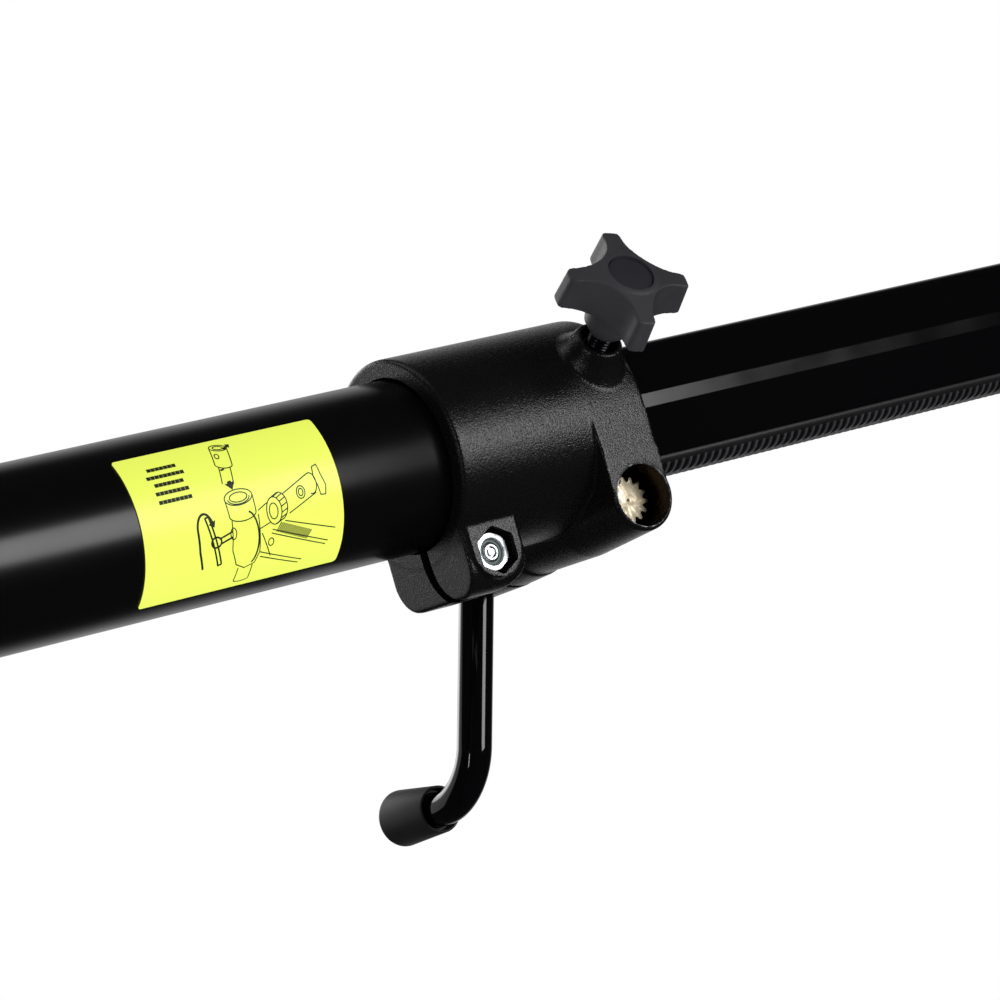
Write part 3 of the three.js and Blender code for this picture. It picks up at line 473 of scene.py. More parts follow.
def ranged(tree, source, low, high, from_low=0.35, from_high=0.65):
    """Stretches a value's range to another one."""
    limits = {"From Min": from_low, "From Max": from_high, "To Min": low, "To Max": high}
    node = add(tree, "ShaderNodeMapRange", limits)
    tree.links.new(source, node.inputs["Value"])
    return node.outputs["Result"]


def vary_roughness(tree, shader, source, low, high):
    tree.links.new(ranged(tree, source, low, high), shader.inputs["Roughness"])


def vary_color(tree, shader, share, first, second):
    """Mixes two colours by a share that varies over the surface."""
    mix = add(tree, "ShaderNodeMix", data_type="RGBA")
    mix.inputs[6].default_value = (*first, 1)
    mix.inputs[7].default_value = (*second, 1)
    tree.links.new(share, mix.inputs[0])
    tree.links.new(mix.outputs[2], shader.inputs["Base Color"])


def emboss(tree, shader, height, strength, distance):
    """Bumps the surface. distance is in millimetres."""
    node = add(tree, "ShaderNodeBump", {"Strength": strength, "Distance": distance * MM})
    tree.links.new(height, node.inputs["Height"])
    tree.links.new(node.outputs["Normal"], shader.inputs["Normal"])


def powder_coat():
    """Black textured powder coat: an orange peel of small hard pimples."""
    material, tree, shader = new_material("powder_coat", (0.004, 0.004, 0.0046), 0.3, 0, 0.46)
    fine = noise(tree, 2600, 0)
    coarse = noise(tree, 1500, 0)
    both = add(tree, "ShaderNodeMath", operation="ADD")
    tree.links.new(fine, both.inputs[0])
    tree.links.new(coarse, both.inputs[1])
    emboss(tree, shader, both.outputs["Value"], 0.8, 0.1)
    vary_roughness(tree, shader, coarse, 0.21, 0.3)
    return material


def satin_black():
    """Smooth satin paint on the tubes."""
    material, tree, shader = new_material("satin_black", (0.0022, 0.0022, 0.0025), 0.24, 0, 0.41)
    vary_roughness(tree, shader, noise(tree, 25), 0.225, 0.255)
    emboss(tree, shader, noise(tree, 900, 1), 0.08, 0.03)
    return material


def gloss_black(name, roughness, specular):
    """Smooth gloss paint with a trace of orange peel and dust."""
    material, tree, shader = new_material(name, (0.0016, 0.0016, 0.0022), roughness, 0, specular)
    emboss(tree, shader, noise(tree, 150, 1), 0.06, 0.05)
    vary_roughness(tree, shader, noise(tree, 40, 4), roughness * 0.85, roughness * 1.2)
    return material


def worn_edge():
    """Paint worn through to bright metal in broken patches."""
    material, tree, shader = new_material("worn_edge", (0.5, 0.5, 0.52), 0.35)
    bare = ranged(tree, noise(tree, 420), 0, 1, 0.52, 0.58)
    tree.links.new(bare, shader.inputs["Metallic"])
    vary_color(tree, shader, bare, (0.008, 0.008, 0.009), (0.3, 0.3, 0.31))
    return material


def moulded_plastic(name, color, roughness):
    """Matte moulded plastic: fine spark-eroded grain and slightly uneven colour."""
    material, tree, shader = new_material(name, color, roughness, specular=0.4)
    emboss(tree, shader, noise(tree, 1600, 2), 0.35, 0.08)
    share = ranged(tree, noise(tree, 45), 0, 1)
    vary_color(tree, shader, share, [c * 0.88 for c in color], [c * 1.12 for c in color])
    return material


def turned_metal(name, color, roughness):
    """Bare metal with fine tool marks and a little variation in polish."""
    material, tree, shader = new_material(name, color, roughness, 1.0)
    marks = noise(tree, 500, 4)
    vary_roughness(tree, shader, marks, roughness * 0.75, roughness * 1.3)
    emboss(tree, shader, marks, 0.15, 0.04)
    return material


def rubber_black():
    """Dull rubber with a coarse grain."""
    material, tree, shader = new_material("rubber_black", (0.014, 0.014, 0.015), 0.75)
    emboss(tree, shader, noise(tree, 700), 0.3, 0.12)
    return material


def painted_iron():
    """Thick hammered paint on cast iron."""
    material, tree, shader = new_material("painted_iron", (0.02, 0.021, 0.023), 0.38)
    dimples = noise(tree, 260, 2)
    emboss(tree, shader, dimples, 0.5, 0.5)
    vary_roughness(tree, shader, dimples, 0.32, 0.45)
    return material


def label_film():
    """Yellow-green day-glow film with a painted glow: an even emission, standing in for its fluorescence,
    brightens it whatever light falls on it.
    """
    material, tree, shader = new_material("label_film", (0.84, 0.95, 0.12), 0.38)
    # painted glow: the film gives off light of its own, though it is no lamp
    shader.inputs["Emission Color"].default_value = (0.8, 0.95, 0.1, 1)
    shader.inputs["Emission Strength"].default_value = 0.22
    vary_roughness(tree, shader, noise(tree, 30, 2), 0.34, 0.42)
    return material


def label_ink():
    """Dark print that still shows a little of the film's colour."""
    material, tree, shader = new_material("label_ink", (0.02, 0.024, 0.006), 0.5)
    vary_roughness(tree, shader, noise(tree, 300, 2), 0.45, 0.6)
    return material


COAT = powder_coat()
SATIN = satin_black()
GLOSS = gloss_black("gloss_black", 0.16, 0.45)
ROD_GLOSS = gloss_black("rod_gloss_black", 0.07, 0.5)
BORE = turned_metal("oiled_bore", (0.16, 0.115, 0.08), 0.3)
RACK_TIPS = moulded_plastic("rack_finish", (0.038, 0.038, 0.042), 0.3)
# painted shade: a darker copy of the rack's grey, for its notches and the shoulder above them
RACK_NOTCH_PAINTED_SHADE = moulded_plastic("rack_notch", (0.008, 0.008, 0.009), 0.35)
IRON = painted_iron()
HANDLE = moulded_plastic("handle_plastic", (0.02, 0.02, 0.022), 0.4)
WORN = worn_edge()
STUD = turned_metal("black_steel", (0.05, 0.05, 0.055), 0.2)
PLASTIC = moulded_plastic("knob_plastic", (0.04, 0.04, 0.046), 0.5)
CAP_PLASTIC = moulded_plastic("cap_plastic", (0.024, 0.024, 0.03), 0.5)
GRIP_PLASTIC = moulded_plastic("grip_plastic", (0.0105, 0.0105, 0.0115), 0.5)
BUSH = moulded_plastic("bush_plastic", (0.012, 0.012, 0.012), 0.45)
ZINC = turned_metal("bright_zinc", (0.58, 0.6, 0.62), 0.34)
STEEL = turned_metal("turned_steel", (0.42, 0.43, 0.45), 0.3)
BRASS = turned_metal("pale_brass", (0.74, 0.65, 0.48), 0.5)
NYLON = moulded_plastic("nylon_ring", (0.2, 0.25, 0.24), 0.45)
RUBBER = rubber_black()
FILM = label_film()
INK = label_ink()


# ---------------------------------------------------------------- outer tube and label


def boom_span(node):
    """How far a node reaches along the boom, in the boom frame."""
    low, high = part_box(node)
    return (low.x - ORIGIN.x) / MM, (high.x - ORIGIN.x) / MM


def add_outer_tube():
    low, high = boom_span("outer_tube")
    bore_r = TUBE_R - TUBE_WALL
    tube = pipe("outer_tube_paint", low, high, TUBE_R, bore_r, TUBE_AXIS, 0.6, TUBE_SIDES)
    dress(tube, SATIN, "outer_tube")
    end = low - END_CAP_LENGTH
    profile = [
        (0, end), (TUBE_R, end), (TUBE_R, low - 0.3), (SLIDING_R, low - 0.3), (SLIDING_R, low + 20),
        (0, low + 20),
    ]
    cap = turn_soft("end_cap_moulding", profile, [0, 2.5, 0.5, 0.3, 1.5, 0], TUBE_AXIS, 5, ROUND)
    dress(cap, RUBBER, "rear_end_cap")


def on_label(u, v, lift=0.0):
    """A point of the label: u along the tube and v up round it, in millimetres."""
    angle = LABEL_LOW + v / TUBE_R
    r = LABEL_R + lift
    return (LABEL_REAR_X + u, -r * math.cos(angle), r * math.sin(angle))


def add_label():
    """The film is drawn flat, cut into bands and bent round the tube."""
    corners = [(0, 0), (LABEL_WIDTH, 0), (LABEL_WIDTH, LABEL_HEIGHT), (0, LABEL_HEIGHT)]
    outline = rounded(corners, LABEL_CORNER_R, 6)
    sheet = prism("label_sheet", outline, -0.1, 0.1, Matrix.Identity(4))
    shape = bmesh.new()
    shape.from_mesh(sheet.data)
    for band in range(1, LABEL_BANDS):
        height = LABEL_HEIGHT * band / LABEL_BANDS
        geometry = shape.verts[:] + shape.edges[:] + shape.faces[:]
        bmesh.ops.bisect_plane(shape, geom=geometry, plane_co=(0, height, 0), plane_no=(0, 1, 0))
    for vert in shape.verts:
        u, v, lift = vert.co
        vert.co = BOOM @ Vector(on_label(u, v, lift - 0.12))
    bmesh.ops.recalc_face_normals(shape, faces=shape.faces)
    shape.to_mesh(sheet.data)
    shape.free()
    dress(sheet, FILM, "info_label", angle=60)


THIN, THICK = 0.42, 0.7  # widths of the label's strokes
BAR_ROWS = (7, 9, 7, 8, 8)
RIBS = 9
ARM_TEETH = 20


def spun(x, y, angle):
    """A point turned about the origin."""
    return x * math.cos(angle) - y * math.sin(angle), x * math.sin(angle) + y * math.cos(angle)


def ellipse(u, v, a, b, start=0, end=360, steps=28):
    """Points along an ellipse about (u, v), from one angle to another."""
    points = []
    for step in range(steps + 1):
        angle = math.radians(start + (end - start) * step / steps)
        points.append((u + a * math.cos(angle), v + b * math.sin(angle)))
    return points


def turned(points, u, v, degrees):
    """Points turned about (u, v)."""
    out = []
    for x, y in points:
        dx, dy = spun(x - u, y - v, math.radians(degrees))
        out.append((u + dx, v + dy))
    return out


def bars():
    """Short bars where the reading matter would be."""
    strokes = []
    for row, count in enumerate(BAR_ROWS):
        v = 55.4 - 3.4 * row
        first = 18.0 - count * 0.92
        for block in range(count):
            u = first + 1.84 * block
            strokes.append(([(u, v), (u + 1.1, v)], 1.5))
    return strokes


def spigot_drawing():
    """The spigot above the socket."""
    lines = [
        ellipse(43, 59, 3.6, 1.5),
        ellipse(43, 59, 2.1, 0.85),
        [(39.4, 59), (39.4, 51)],
        [(46.6, 59), (46.6, 51)],
        ellipse(43, 51, 3.6, 1.5, 180, 360),
        [(40.6, 49.6), (40.6, 43)],
        [(45.4, 49.6), (45.4, 43)],
        ellipse(41.3, 54.8, 0.9, 1.1),
    ]
    return [(turned(line, 43, 50, -12), THIN) for line in lines]


def socket_drawing():
    """The socket's rim and body."""
    return [
        (ellipse(44, 37.5, 6.2, 3.0), THIN),
        (ellipse(44, 37.5, 3.9, 1.8), THIN),
        (ellipse(44, 37.2, 4.8, 2.3, 180, 360), THIN),
        ([(37.8, 37.5), (38.4, 31)], THIN),
        ([(50.2, 37.5), (50.4, 31)], THIN),
        (ellipse(44.4, 31, 6.0, 2.6, 180, 360), THIN),
        ([(39.2, 29.2), (38.8, 18), (41, 11.5), (45, 9.2), (49.4, 10.5), (51.3, 15), (51.2, 29.5)], THIN),
        (ellipse(46.6, 21, 4.2, 10.5, -70, 80), THICK),
        ([(42.2, 9.6), (41.6, 3.6)], THIN),
        ([(48.6, 9.8), (48.2, 3.8)], THIN),
        (ellipse(44.9, 3.6, 3.3, 1.0, 180, 360), THIN),
    ]


def t_screw_drawing():
    """The T-screw at the socket's side."""
    bar = turned([(30.0, 33), (31.6, 33), (31.6, 13), (30.0, 13), (30.0, 33)], 31, 23, 14)
    return [
        ([(39.0, 25.4), (33.5, 23.8)], THICK),
        ([(38.8, 23.2), (33.8, 21.8)], THICK),
        (ellipse(39.4, 24.4, 1.3, 2.2), THIN),
        (bar, THICK),
        (ellipse(31.6, 22.6, 2.2, 2.0), THICK),
    ]


def wheel_drawing():
    """The toothed wheel and its ribs."""
    strokes = []
    for rib in range(RIBS):
        angle = math.radians(110 - 25 * rib)
        x, y = 3.4 * math.cos(angle), 5.2 * math.sin(angle)
        strokes.append(([(58.5 + x, 29.5 + y), (61.3 + x, 30.7 + y)], THIN))
    return strokes + [
        (ellipse(58.5, 29.5, 3.4, 5.2), THIN),
        (ellipse(61.3, 30.7, 3.4, 5.2, -100, 120), THIN),
        (ellipse(58.2, 29.4, 1.9, 3.0), THIN),
        ([(51.4, 31), (55.6, 33)], THIN),
        ([(51.4, 24), (56, 25.4)], THIN),
    ]


def barrel_drawing():
    """The barrel and the star knob beyond the wheel."""
    knob = [
        (79.4, 42.4), (81.6, 43), (82.3, 38.6), (83.4, 34.6), (82.6, 31.2), (80.4, 31.4), (79.8, 35.2),
        (78.8, 38.6), (79.4, 42.4),
    ]
    return [
        ([(63.5, 35), (76, 40.2)], THIN),
        ([(65.2, 27.2), (78.4, 32.6)], THIN),
        (ellipse(77, 36.4, 2.4, 4.0, -110, 110), THIN),
        (ellipse(71.6, 34, 1.9, 2.4), THIN),
        (ellipse(71.6, 34, 1.0, 1.4), THIN),
        (knob, THIN),
    ]


def arm_drawing():
    """The racked arm."""
    strokes = [
        ([(63, 24.8), (86, 17.4)], THIN),
        ([(57, 22.6), (83, 12.6)], THIN),
        ([(56.6, 21.2), (82, 11.2)], THIN),
        ([(51.6, 14.6), (72, 6.4)], THIN),
        ([(51.8, 12.6), (70.6, 5.2)], THIN),
    ]
    for tooth in range(ARM_TEETH):
        u, v = 61.2 + 0.72 * tooth, 24.6 - 0.3 * tooth
        strokes.append(([(u, v), (u - 2.4, v - 3.2)], THIN))
    strokes.append((ellipse(56.3, 17.8, 1.2, 1.5), THIN))
    strokes.append(([(52.2, 22), (56.4, 12)], THIN))
    return strokes


def turning_mark():
    """The shaft of the turning arrow beside the T-screw."""
    width = THICK * 1.3
    return [
        (ellipse(27.2, 28.4, 3.4, 5.8, 20, 180), width),
        ([(23.8, 28.4), (24.2, 20), (25.6, 13)], width),
    ]


def pictogram():
    """A generic wordless picture: a spigot going into a tilting socket, its T-screw, a toothed
    wheel, a star knob and a racked arm. Each stroke is (points, width)."""
    strokes = bars() + spigot_drawing() + socket_drawing() + t_screw_drawing() + wheel_drawing()
    return strokes + barrel_drawing() + arm_drawing() + turning_mark()


def arrow(tail, head, width):
    """A filled arrow from one point to another: its outline."""
    a, b = Vector(tail), Vector(head)
    along = (b - a).normalized()
    side = Vector((-along.y, along.x))
    neck = b - along * width * 1.6
    shaft, barb = side * width * 0.5, side * width * 1.25
    left = [a + shaft, neck + shaft, neck + barb]
    right = [neck - barb, neck - shaft, a - shaft]
    return left + [b] + right


ARROWS = [
    arrow((41.6, 49.4), (42.6, 40.6), 1.8),
    arrow((46.8, 57.6), (50.4, 59.4), 1.0),
    arrow((29.8, 31.8), (31.2, 28.4), 1.4),
]


def stroke_pieces(points, width):
    """A stroke as four-sided pieces short enough to bend with the label."""
    for start, end in zip(map(Vector, points), map(Vector, points[1:])):
        along = end - start
        side = Vector((-along.y, along.x)).normalized() * width / 2
        reach = along.normalized() * width * 0.2
        parts = max(1, math.ceil(abs(along.y) / PRINT_REACH))
        for part in range(parts):
            a = start.lerp(end, part / parts) - reach
            b = start.lerp(end, (part + 1) / parts) + reach
            yield [a + side, b + side, b - side, a - side]


def add_print():
    """The print stands a little proud of the film, in closed pieces."""
    outlines = [piece for points, width in pictogram() for piece in stroke_pieces(points, width)]
    verts, faces = [], []
    for outline in outlines + ARROWS:
        base, count = len(verts), len(outline)
        for lift in (-PRINT_LIFT, PRINT_LIFT):
            verts.extend(on_label(u, v, lift) for u, v in outline)
        faces += ring_faces(count, 2, base)
    ink = make("label_print", verts, faces, BOOM)
    dress(ink, INK, "info_label", angle=20, stands_in=False)


# ---------------------------------------------------------------- the crank collar


def sleeve():
    """The collar's round body: its rear rim is crisp, and its front edge is well rounded."""
    core = COLLAR_CORE_R
    profile = [(core, 0), (COLLAR_R, 0), (COLLAR_R, COLLAR_LENGTH), (core, COLLAR_LENGTH)]
    return revolve("collar", rounded(profile, [0, 1.6, 6.0, 0], 8), TUBE_AXIS, VERY_ROUND)


def arc(y, z, r, start, sweep, steps, narrowing=0.0):
    """Points round (y, z), from one angle through another, with a radius that may narrow."""
    points = []
    for step in range(steps + 1):
        share = step / steps
        angle, reach = start + sweep * share, r - narrowing * share
        points.append((y + reach * math.cos(angle), z + reach * math.sin(angle)))
    return points


def clamp_lugs():
    """Two lugs under the rear end, as one block, with a round face on the near one."""
    low, far = LUG_LOW_Z, LUG_FAR_Y
    end_on = rounded([(LUG_SIDE_Y, -16), (LUG_SIDE_Y, low), (far, low), (far, -16)], [0, 12, 14, 0], 10)
    block = prism("lugs", end_on, 0.1, 30, BOOM @ YZ_OUTLINE)
    side = rounded([(28, -10), (0.2, -10), (0.2, low), (28, low)], [0, 0, 1.5, 12], 10)
    overlap(block, prism("lug_side", side, LUG_NEAR_Y, far + 1, BOOM @ XZ_OUTLINE))
    face = [(LUG_X + LUG_FACE_R + 0.2, -20), (LUG_X - LUG_FACE_R - 0.2, -20)]
    face += arc(LUG_X, LUG_Z + 0.8, LUG_FACE_R, math.pi, math.pi, 32)
    return fuse(block, prism("lug_face", face, LUG_NEAR_Y, -18, BOOM @ XZ_OUTLINE))


def pinion_housing():
    """The cross housing under the front end: drafted towards its open near end."""
    profile = [
        (0, HOUSING_NEAR_Y), (14.4, HOUSING_NEAR_Y), (17.7, -4), (17.9, 33), (18.7, 34.5),
        (19.8, HOUSING_FAR_Y), (0, HOUSING_FAR_Y),
    ]
    return turn_soft("housing", profile, [0, 1.2, 0, 0, 0.6, 1, 0], PINION_AXIS, 4, 128)


def web():
    """The flat shoulder that runs down from the knob's boss to the pinion socket."""
    near = HOUSING_NEAR_Y + 0.2
    face = [(-40.9, 13), (-42.2, 8), (-42.95, 3), (-43.2, -2), (-43.4, -9), (near, -18)]
    section = face + [(near, PINION_Z), (-COLLAR_CORE_R, PINION_Z), (-COLLAR_CORE_R, 13)]
    return prism("web", section, PINION_X - 14.2, PINION_X + 13.6, BOOM @ YZ_OUTLINE)


def knob_boss():
    """The flared boss that the lock stud screws into."""
    profile = [(0, 32), (16.2, 33), (16.2, 39.9), (14.1, 42.6), (11.8, 46.4), (9.5, 52.0), (0, 52.0)]
    return turn_soft("boss", profile, [0, 0, 1.5, 3, 3, 0.8, 0], KNOB)


def clamp_slot():
    """The split between the lugs: straight at the bore, then curving under the near lug."""
    turn = (SLOT_TURN_Y, SLOT_TURN_Z)
    near = [(SLOT_TURN_Y + SLOT_NEAR_R, -28)] + arc(*turn, SLOT_NEAR_R, 0, SLOT_SWEEP, 12)
    far = [(-10.5, -58.6)] + arc(*turn, SLOT_FAR_R, 0, SLOT_SWEEP, 12, SLOT_NARROWING)[-2::-1]
    outline = near + [(-22, -63), (-10.5, -63)] + far + [(SLOT_TURN_Y + 21.4, -28)]
    return prism("slot", outline, -3, 32, BOOM @ YZ_OUTLINE)


def hexagon(across, turn=0.0):
    """A hexagon by the distance across its flats."""
    corner = across / 2 / math.cos(math.radians(30))
    points = []
    for k in range(6):
        angle = math.radians(60 * k) + turn
        points.append((corner * math.cos(angle), corner * math.sin(angle)))
    return points


def nut_pocket():
    outline = rounded(hexagon(POCKET_ACROSS, math.radians(30)), 2.2, 5)
    return prism("pocket", outline, LUG_NEAR_Y - 3, -17.9, CLAMP_AXIS)


def collar_bores():
    """What is cut out of the collar's casting."""
    wide = TUBE_R + BORE_GAP
    bore = [(0, -3), (TUBE_R + 2, -3), (wide, 1.2), (wide, 60), (0, 60)]
    socket = [
        (0, -48), (13.4, -48), (SOCKET_R, -43.6), (SOCKET_R, SOCKET_DEPTH_Y), (0, SOCKET_DEPTH_Y),
    ]
    mouth = [(0, 45), (6.9, 45), (7.9, 51), (8.2, 54), (0, 54)]
    return [
        revolve("bore", bore, TUBE_AXIS, VERY_ROUND),
        rod("nose", 5, COLLAR_LENGTH + 3, NOSE_BORE_R, TUBE_AXIS, sides=VERY_ROUND),
        revolve("socket", socket, PINION_AXIS, 128),
        rod("far_bore", 5, 56, 10.5, PINION_AXIS),
        clamp_slot(),
        nut_pocket(),
        rod("bolt_hole", -25, 30, 4.3, CLAMP_AXIS),
        rod("stud_hole", 20, 60, 5.3, KNOB),
        revolve("stud_mouth", mouth, KNOB, SMALL),
    ]


def add_collar():
    body = fuse(sleeve(), clamp_lugs(), pinion_housing(), web(), knob_boss())
    soften(body, 0.6, 8)
    cut(body, *collar_bores())
    body.name = "collar_casting"
    dress(body, COAT, "crank_collar", angle=40)
    bare_socket(body)
    ring = rounded([(12.55, -43.6), (12.85, -44.15), (13.35, -44.05), (13.1, -43.4)], 0.12, 2)
    rim = revolve("socket_rim", ring, PINION_AXIS, 128)
    ring = rounded([(7.95, 51.0), (8.3, 51.95), (8.8, 51.85), (8.7, 51.0)], 0.15, 2)
    lip = revolve("boss_lip", ring, KNOB, KNOB_ROUND)
    for edge in (rim, lip):
        dress(edge, WORN, "crank_collar", angle=60, stands_in=False)


def bare_socket(body):
    """The pinion's socket is machined after painting, so its wall is bare metal."""
    body.data.materials.append(BORE)
    middle = BOOM @ Vector((PINION_X, 0, PINION_Z))
    deep = (HOUSING_NEAR_Y + 0.6) * MM
    for face in body.data.polygons:
        away = math.hypot(face.center.x - middle.x, face.center.z - middle.z)
        if away < (SOCKET_R + 0.05) * MM and deep < face.center.y < (SOCKET_DEPTH_Y + 1) * MM:
            face.material_index = 1


def add_bushes():
    inner = pipe("inner_bush_moulding", 20, 57, SLIDING_R, PASSAGE_R, TUBE_AXIS)
    nose = pipe("nose_bush_moulding", 90.5, 96.4, NOSE_BORE_R - 0.3, PASSAGE_R, TUBE_AXIS)
    slit = [(0, -18.5), (120, -18.5), (120, 18.5), (0, 18.5)]
    for bush, node in ((inner, "inner_guide_bush"), (nose, "nose_guide_bush")):
        cut(bush, prism("slit", slit, -40, -20, BOOM))
        dress(bush, BUSH, node)
    pinion = pipe("pinion_bush_turned", 13, 51.5, 10.2, SHAFT_R + 0.2, PINION_AXIS, 0.3, SMALL)
    dress(pinion, BRASS, "pinion_bush")


def hex_nut(name, across, low, high, place):
    """A hexagon with its corners turned off to a cone at both faces."""
    half = across / 2
    corner = half / math.cos(math.radians(30))
    drop, out = (corner - half) * 0.58, corner + 0.01
    profile = [(0, low), (half, low), (out, low + drop), (out, high - drop), (half, high), (0, high)]
    nut = prism(name, hexagon(across), low, high, place)
    return overlap(nut, revolve("chamfer", profile, place, KNOB_ROUND))


def add_lock_nut():
    """A lock nut in its pocket: a bright rolled collar with a nylon ring set in it."""
    face, place = NUT_NEAR_Y, CLAMP_AXIS
    nut = prism("lock_nut", hexagon(NUT_ACROSS, math.radians(30)), face, NUT_FAR_Y, place)
    chamfer = [(0, face), (7.6, face), (8.1, face + 0.6), (8.3, NUT_FAR_Y + 0.1), (0, NUT_FAR_Y + 0.1)]
    overlap(nut, turn_soft("chamfer", chamfer, [0, 0.4, 0.3, 0, 0], place, 4, TURNED))
    seat = [(0, face - 1), (5.9, face - 1), (5.7, face + 0.1), (5.0, face + 2.3), (0, face + 2.3)]
    cut(nut, turn_soft("seat", seat, [0, 0, 0.4, 0.2, 0], place))
    cut(nut, rod("nut_bore", face - 2, -10, 4.25, place))
    dress(nut, ZINC, "clamp_nut")
    ring = [
        (5.0, face + 2.3), (5.15, face + 1.6), (4.85, face + 1.4), (4.7, face + 1.6),
        (4.55, face + 1.35), (4.1, face + 1.3), (4.05, face + 2.3),
    ]
    insert = revolve("nut_insert", rounded(ring, 0.08, 2), place, KNOB_ROUND)
    dress(insert, NYLON, "clamp_nut", stands_in=False)


def add_clamp_bolt():
    """The bolt's threaded end, with its centre mark, shows in the nut. Its head is on the far side."""
    bolt = threaded("clamp_bolt_thread", 4.0, 1.25, NUT_NEAR_Y + 0.8, 26.6, CLAMP_AXIS, 0.9)
    mark = [(1.35, -27), (2.5, -27), (2.3, -24), (1.5, -24)]
    cut(bolt, revolve("centre", mark, CLAMP_AXIS, SLIM))
    dress(bolt, ZINC, "clamp_bolt")
    head = hex_nut("clamp_bolt_head", 13, 26.9, 32, CLAMP_AXIS)
    dress(head, ZINC, "clamp_bolt", stands_in=False)


def threaded(name, r, pitch, low, high, place, chamfer=0.5, sides=TINY):
    """A bar with a rolled thread: a helical ridge round a core, pointed at both ends."""
    depth = pitch * 0.54
    rows = max(4, int((high - low) / pitch * 8))
    sections = []
    for row in range(rows + 1):
        z = low + (high - low) * row / rows
        ring = []
        for k in range(sides):
            phase = (z / pitch - k / sides) % 1.0
            wave = abs(2 * phase - 1)
            edge = min(z - low, high - z)
            taper = max(0.0, chamfer - edge)
            reach = min(r - depth * wave, r - taper)
            angle = 2 * math.pi * k / sides
            ring.append((reach * math.cos(angle), reach * math.sin(angle), z))
        sections.append(ring)
    return loft(name, sections, place)


# ---------------------------------------------------------------- inner tube, rack and pinion


def hex_outline(inset=0.0):
    """The tube from its end: flat above and below, with a narrow upright facet on each side."""
    y, shoulder, top = HEX_SIDE_Y - inset, HEX_SHOULDER_Y - inset * 0.58, HEX_APOTHEM - inset
    right = [(shoulder, top), (y, HEX_FACET_HIGH), (y, HEX_FACET_LOW), (shoulder, -top)]
    corners = right + [(-a, b) for a, b in reversed(right)]
    edge = max(HEX_CORNER_R - inset, 3)
    return rounded(corners, [edge, 1.2, 1.2, edge] * 2, 12)


def add_inner_tube():
    start, end = boom_span("inner_tube")
    tube = prism("inner_tube_paint", hex_outline(), start, end, BOOM @ YZ_OUTLINE)
    cut(tube, prism("bore", hex_outline(HEX_WALL), start - 2, end + 2, BOOM @ YZ_OUTLINE))
    dress(tube, GLOSS, "inner_tube", angle=25)
    plug, rear = 20.8, start - 0.3
    profile = [
        (0, start - 20), (SLIDING_R, start - 20), (SLIDING_R, rear), (plug, rear), (plug, start + 25),
        (0, start + 25),
    ]
    guide = turn_soft("tail_guide_moulding", profile, [0, 1.5, 0.5, 0.2, 1, 0], TUBE_AXIS, 4, ROUND)
    dress(guide, BUSH, "tail_guide")


def rack_section(share):
    """The rack between a notch's root (0) and a tooth's tip (1): it swells out of one rounded
    corner and into the other, and a notch runs out on both."""
    side = []
    for step in range(RACK_STEPS + 1):
        part = step / RACK_STEPS
        angle = RACK_FROM + (RACK_TO - RACK_FROM) * part
        tip = RACK_SINK_R + RACK_SWELL * part**RACK_FULLNESS
        run = min(max((part - NOTCH_FROM) / (NOTCH_FULL - NOTCH_FROM), 0), 1)
        r = tip - (tip - RACK_ROOT_R) * run * (1 - share)
        side.append((RACK_CORNER_Y + r * math.cos(angle), RACK_CORNER_Z + r * math.sin(angle)))
    return side + [(-y, z) for y, z in reversed(side)]


def add_rack():
    """Teeth across the underside, dark grey on their tips, with painted shade in their notches and on the
    shoulder above them.
    """
    start, end = boom_span("gear_rack")
    sections, shares = [], []
    for tooth in range(round((end - start) / RACK_PITCH)):
        for along, share in RACK_TOOTH:
            x = start + (tooth + along) * RACK_PITCH
            sections.append([(x, y, z) for y, z in rack_section(share)])
            shares.append(share)
    rack = dress(loft("rack_teeth", sections, BOOM), RACK_TIPS, "gear_rack", angle=28)
    # painted shade: the notches and the shoulder above them take the darker material
    rack.data.materials.append(RACK_NOTCH_PAINTED_SHADE)
    around = len(sections[0])
    shoulder = round(SHOULDER_TO * RACK_STEPS)
    for face in rack.data.polygons[2:]:
        row, column = divmod(face.index - 2, around)
        notch = min(shares[row], shares[row + 1]) < 0.5
        if notch or column < shoulder or column > around - 2 - shoulder:
            face.material_index = 1


def gear_outline():
    """Round-nosed teeth with hollow roots."""
    points = []
    for step in range(PINION_TEETH * PINION_TOOTH_STEPS):
        turn = step / PINION_TOOTH_STEPS
        wave = math.cos(2 * math.pi * (turn % 1))
        r = PINION_PITCH_R - 0.25 + 1.12 * math.copysign(abs(wave) ** 0.55, wave)
        angle = math.pi / 2 + 2 * math.pi * turn / PINION_TEETH
        points.append((r * math.cos(angle), r * math.sin(angle)))
    return points


def add_pinion():
    gear = prism("pinion_teeth", gear_outline(), -33, 12, PINION @ XZ_OUTLINE)
    bevel(gear, 0.3, 2, 60)
    cut(gear, revolve("drill", [(0, -34), (0.7, -34), (0.7, -32.4), (0, -31.4)], PINION_AXIS, TINY))
    dress(gear, BRASS, "pinion_gear", angle=40)
    dress(rod("shaft_turned", 12.3, 68, SHAFT_R, PINION_AXIS, 0.5), STEEL, "pinion_shaft")


# ---------------------------------------------------------------- crank


